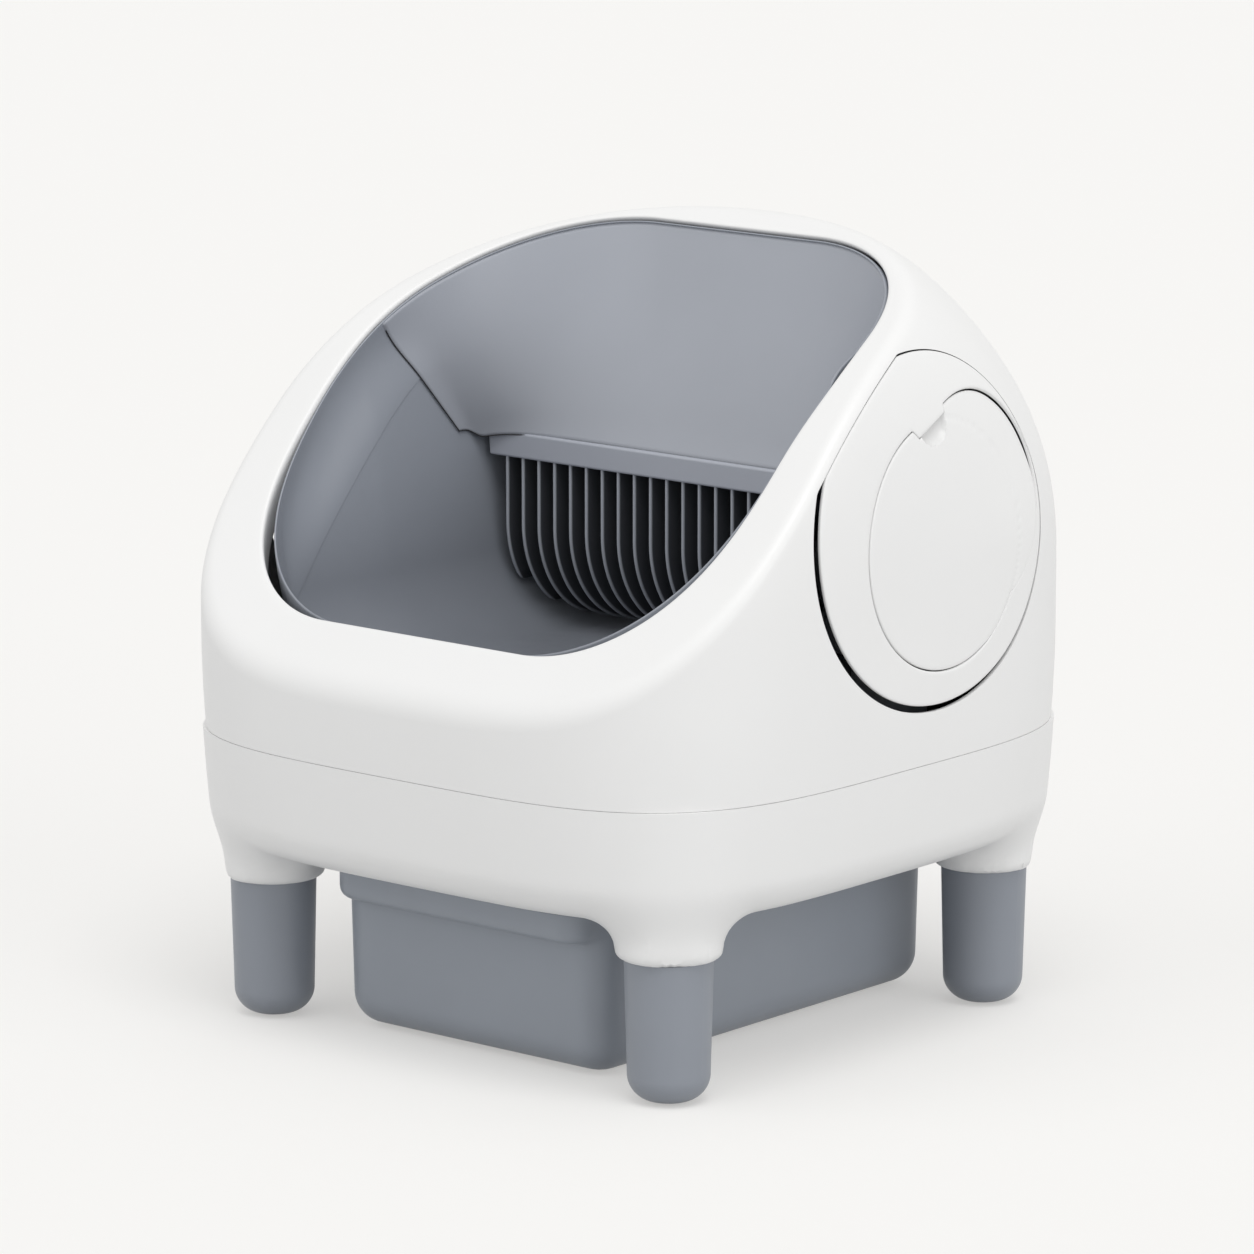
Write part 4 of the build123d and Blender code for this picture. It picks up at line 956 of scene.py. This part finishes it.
def makeHood():
    spec = hoodSpec
    start = math.radians(spec["seamTop"])
    turn = np.linspace(start, math.pi - start, 900)
    edge = edgeReach(turn, spec["drop"], spec["outset"])
    top = evenAlong(rimPoints(turn, edge, spec["drop"]), spec["columns"])
    half, sideY, midY, footZ = spec["foot"]
    t = np.linspace(-math.pi / 2, math.pi / 2, 900)
    x = half * np.sign(np.sin(t)) * np.abs(np.sin(t)) ** (2 / spec["footPower"])
    y = sideY + (midY - sideY) * np.abs(np.cos(t)) ** (2 / spec["footPower"])
    wide = np.abs(x / half)
    lift = spec["lift"] * (np.maximum(wide - spec["liftFrom"], 0) / (1 - spec["liftFrom"])) ** 2
    foot = evenAlong(np.stack([x, y, footZ - spec["dip"] * wide ** 10 + lift], -1), spec["columns"])
    across = np.linspace(-1, 1, spec["columns"])
    rise = np.linspace(0, 1, spec["rows"])
    ends = [foot[i] + (top[i] - foot[i]) * rise[:, None] for i in (0, -1)]
    left, right = [wallX(end[:, 1], end[:, 2], side) - spec["clear"] - side * end[:, 0]
                   for end, side in zip(ends, (-1, 1))]
    rows = []
    for v, outLeft, outRight in zip(rise, left, right):
        belly = spec["sag"] * math.sin(math.pi * v ** 0.8) * (1 - across ** 2) ** 0.8
        roll = spec["toe"] * max(0.0, 1 - v / spec["toeTop"]) ** 2 * (1 - across ** 8)
        row = foot + (top - foot) * v
        row[:, 0] += np.where(across < 0, -outLeft, outRight) * np.abs(across) ** 8
        room = sideLimit(1, row[:, 1], row[:, 2]) - spec["wall"] - spec["clear"]
        row[:, 0] = np.minimum(row[:, 0], room)
        row[:, 1] += belly - roll
        rows.append(row)
    grid = np.stack(rows)
    seam = np.concatenate([grid[::-1, 0], grid[0, 1:-1], grid[:, -1]])
    return openGrid("drumHood", grid, spec["wall"], hoodGreyPaintedLight), seam


def makeTube(name, path, radius, material, sides=8):  # round cord along a line of points
    along = np.gradient(path, axis=0)
    along /= np.linalg.norm(along, axis=1)[:, None]
    side = np.cross(along, (0.3, 0.5, 0.8))
    side /= np.linalg.norm(side, axis=1)[:, None]
    up = np.cross(along, side)
    turn = np.linspace(0, 2 * math.pi, sides, endpoint=False)
    c, s = np.cos(turn)[:, None], np.sin(turn)[:, None]
    rows = [p + radius * (c * a + s * b) for p, a, b in zip(path, side, up)]
    return gridObject(name, rows, material, closeRows=False)


hood, hoodEdge = makeHood()
settle(hood, "drum", "drum_grey", "drum_hood")
# thin dark cord along the hood's edge: painted shadow of the seam against the drum's wall, not a real part
settle(makeTube("hoodSeal", hoodEdge[3:-3], hoodSpec["shadowCord"], finishes["foot_rubber"]), "drum", "foot_rubber")
print("drum edge and hood")

combSpec = {"y": 0.076, "barTop": 0.417, "barHigh": 0.020, "count": 24, "pitch": 0.0162, "thick": 0.0026,
            "deep": 0.009, "back": 0.024, "straight": 0.052, "bend": 0.075, "edge": 0.0008, "steps": 22,
            "floorIn": 0.004, "floorGap": 0.0006}


def bladeMesh():  # one blade in the middle plane, front edge softened
    spec = combSpec
    top = spec["barTop"] - spec["barHigh"]
    knee = top - spec["straight"]
    path = [(spec["y"], top - spec["straight"] * i / 6, 0.0) for i in range(6)]
    for i in range(spec["steps"] + 1):
        a = math.pi / 2 * i / spec["steps"]
        path.append((spec["y"] + spec["bend"] * (1 - math.cos(a)), knee - spec["bend"] * math.sin(a), a))
    half, thick, soft = spec["deep"] / 2, spec["thick"] / 2, spec["edge"]
    rear = -half + spec["back"]
    ring = [(-half, -thick + soft), (-half, thick - soft), (-half + soft, thick),
            (rear, thick), (rear, -thick), (-half + soft, -thick)]
    rings = []
    for y, z, a in path:
        c, s = math.cos(a), math.sin(a)
        rings.append([(across, y + along * c, z + along * s) for along, across in ring])
    return loftMesh("combBlade", rings)


def rowTree(name, blade, material):  # repeats a blade along x with named inputs for count and pitch
    tree = bpy.data.node_groups.new(name, "GeometryNodeTree")
    tree.interface.new_socket("Count", in_out="INPUT", socket_type="NodeSocketInt")
    tree.interface.new_socket("Pitch", in_out="INPUT", socket_type="NodeSocketFloat")
    tree.interface.new_socket("Geometry", in_out="OUTPUT", socket_type="NodeSocketGeometry")
    source = tree.nodes.new("NodeGroupInput").outputs
    count, pitch = source["Count"], source["Pitch"]
    half = addNode(tree, "ShaderNodeMath", {0: count, 1: -0.5, 2: 0.5}, operation="MULTIPLY_ADD")[0]
    left = addNode(tree, "ShaderNodeMath", {0: half, 1: pitch}, operation="MULTIPLY")[0]
    start = addNode(tree, "ShaderNodeCombineXYZ", {"X": left})[0]
    step = addNode(tree, "ShaderNodeCombineXYZ", {"X": pitch})[0]
    row = {"Count": count, "Start Location": start, "Offset": step}
    line = addNode(tree, "GeometryNodeMeshLine", row)["Mesh"]
    piece = addNode(tree, "GeometryNodeObjectInfo", {"Object": blade})["Geometry"]
    placed = addNode(tree, "GeometryNodeInstanceOnPoints", {"Points": line, "Instance": piece})["Instances"]
    real = addNode(tree, "GeometryNodeRealizeInstances", {"Geometry": placed})["Geometry"]
    paint = addNode(tree, "GeometryNodeSetMaterial", {"Geometry": real, "Material": material})["Geometry"]
    addNode(tree, "NodeGroupOutput", {"Geometry": paint})
    return tree


def setInput(modifier, label, value):
    for item in modifier.node_group.interface.items_tree:
        if item.item_type == "SOCKET" and item.in_out == "INPUT" and item.name == label:
            modifier[item.identifier] = value


def trayLow(x):  # height of the tray's rounded floor at a distance from its middle
    corner = traySpec["corner"]
    past = np.maximum(np.abs(x) - (traySpec["floorHalf"] - corner + combSpec["floorIn"]), 0)
    return traySpec["floorZ"] + corner - np.sqrt(np.maximum(corner ** 2 - past ** 2, 0))


def makeComb():
    spec = combSpec
    blade = addObject("combBladeSource", bladeMesh())
    comb = addObject("siftingComb", bpy.data.meshes.new("siftingComb"))
    rows = comb.modifiers.new("row", "NODES")
    rows.node_group = rowTree("combRow", blade, combFrontAndShade)
    setInput(rows, "Count", spec["count"])
    setInput(rows, "Pitch", spec["pitch"])
    applyModifiers(comb)
    bpy.data.objects.remove(blade)
    for v in comb.data.vertices:  # blades end on the tray's rounded floor
        v.co.z = max(v.co.z, float(trayLow(v.co.x)) + spec["floorGap"])
    smooth(comb.data, 50)
    return comb


settle(makeComb(), "drum", "comb_grey", "sifting_comb")
print("comb")


# floor, light and camera

floorSpec = {"half": 40.0, "colour": (0.86, 0.855, 0.84), "bounce": 0.62, "glow": 0.45,
             "seen": (0.932, 0.922, 0.905)}


def seenRays(tree):  # 1 for rays that show a surface: from the camera, a reflection or a pane
    path = tree.nodes.new("ShaderNodeLightPath").outputs
    rays = path["Is Camera Ray"]
    for other in ("Is Glossy Ray", "Is Transmission Ray"):
        rays = addNode(tree, "ShaderNodeMath", {0: rays, 1: path[other]}, operation="MAXIMUM")[0]
    return rays


def makeFloor():
    mesh = bpy.data.meshes.new("floor")
    with meshEdit(mesh) as bm:
        bmesh.ops.create_grid(bm, x_segments=2, y_segments=2, size=floorSpec["half"])
    floor = addObject("floor", mesh)
    mat, tree, shader, where = newMaterial("floorPale")
    base = floorSpec["colour"]
    tint = rampNode(tree, noiseNode(tree, where, 3, 2), [c * 0.997 for c in base], base)
    tree.links.new(tint, shader.inputs["Base Color"])
    shader.inputs["Roughness"].default_value = 0.9
    shader.inputs["Specular IOR Level"].default_value = 0.1
    dull = addNode(tree, "ShaderNodeBsdfDiffuse", {"Color": (*[floorSpec["bounce"]] * 3, 1)})["BSDF"]
    glow = addNode(tree, "ShaderNodeEmission", {"Color": (*floorSpec["seen"], 1)})["Emission"]
    bright = {"Fac": floorSpec["glow"], 1: shader.outputs["BSDF"], 2: glow}
    bright = addNode(tree, "ShaderNodeMixShader", bright)["Shader"]
    mix = addNode(tree, "ShaderNodeMixShader", {"Fac": seenRays(tree), 1: dull, 2: bright})["Shader"]
    tree.links.new(mix, tree.nodes["Material Output"].inputs["Surface"])
    mesh.materials.append(mat)
    return floor


makeFloor()

lightSpec = {"ambient": 0.62, "backdrop": (0.932, 0.922, 0.905),
             "suns": [((0.45, -0.35, 1.3), 1.12, 34),  # towards, strength, spread
                      ((-0.5, -1.0, 0.6), 0.45, 60), ((1.0, -0.05, 0.25), 0.85, 50)]}


def makeLight():
    world = bpy.data.worlds.new("studio")
    scene.world = world
    world.use_nodes = True
    tree = world.node_tree
    back = tree.nodes["Background"]
    back.inputs["Color"].default_value = (1, 1, 1, 1)
    back.inputs["Strength"].default_value = lightSpec["ambient"]
    seen = addNode(tree, "ShaderNodeBackground", {"Color": (*lightSpec["backdrop"], 1)})["Background"]
    mix = {"Fac": seenRays(tree), 1: back.outputs["Background"], 2: seen}
    mix = addNode(tree, "ShaderNodeMixShader", mix)["Shader"]
    tree.links.new(mix, tree.nodes["World Output"].inputs["Surface"])
    for i, (towards, strength, spread) in enumerate(lightSpec["suns"]):
        lamp = bpy.data.lights.new(f"softbox{i}", "SUN")
        lamp.energy = strength
        lamp.angle = math.radians(spread)
        sun = addObject(f"softbox{i}", lamp)
        sun.rotation_euler = Vector(towards).to_track_quat("Z", "Y").to_euler()


makeLight()

cameraSpec = {"place": (3.2099, -3.8091, 1.3135), "aim": (0.0, 0.0, 0.2964), "lens": 192.34, "shift": -0.0023}


def makeCamera():
    lens = bpy.data.cameras.new("photoCamera")
    lens.sensor_width = 36
    lens.lens = cameraSpec["lens"]
    lens.shift_x = cameraSpec["shift"]
    lens.clip_end = 200
    camera = addObject("photoCamera", lens)
    place = Vector(cameraSpec["place"])
    camera.location = place
    camera.rotation_euler = (place - Vector(cameraSpec["aim"])).to_track_quat("Z", "Y").to_euler()
    scene.camera = camera


makeCamera()
scene.view_settings.view_transform = "Standard"
print("floor, light and camera")
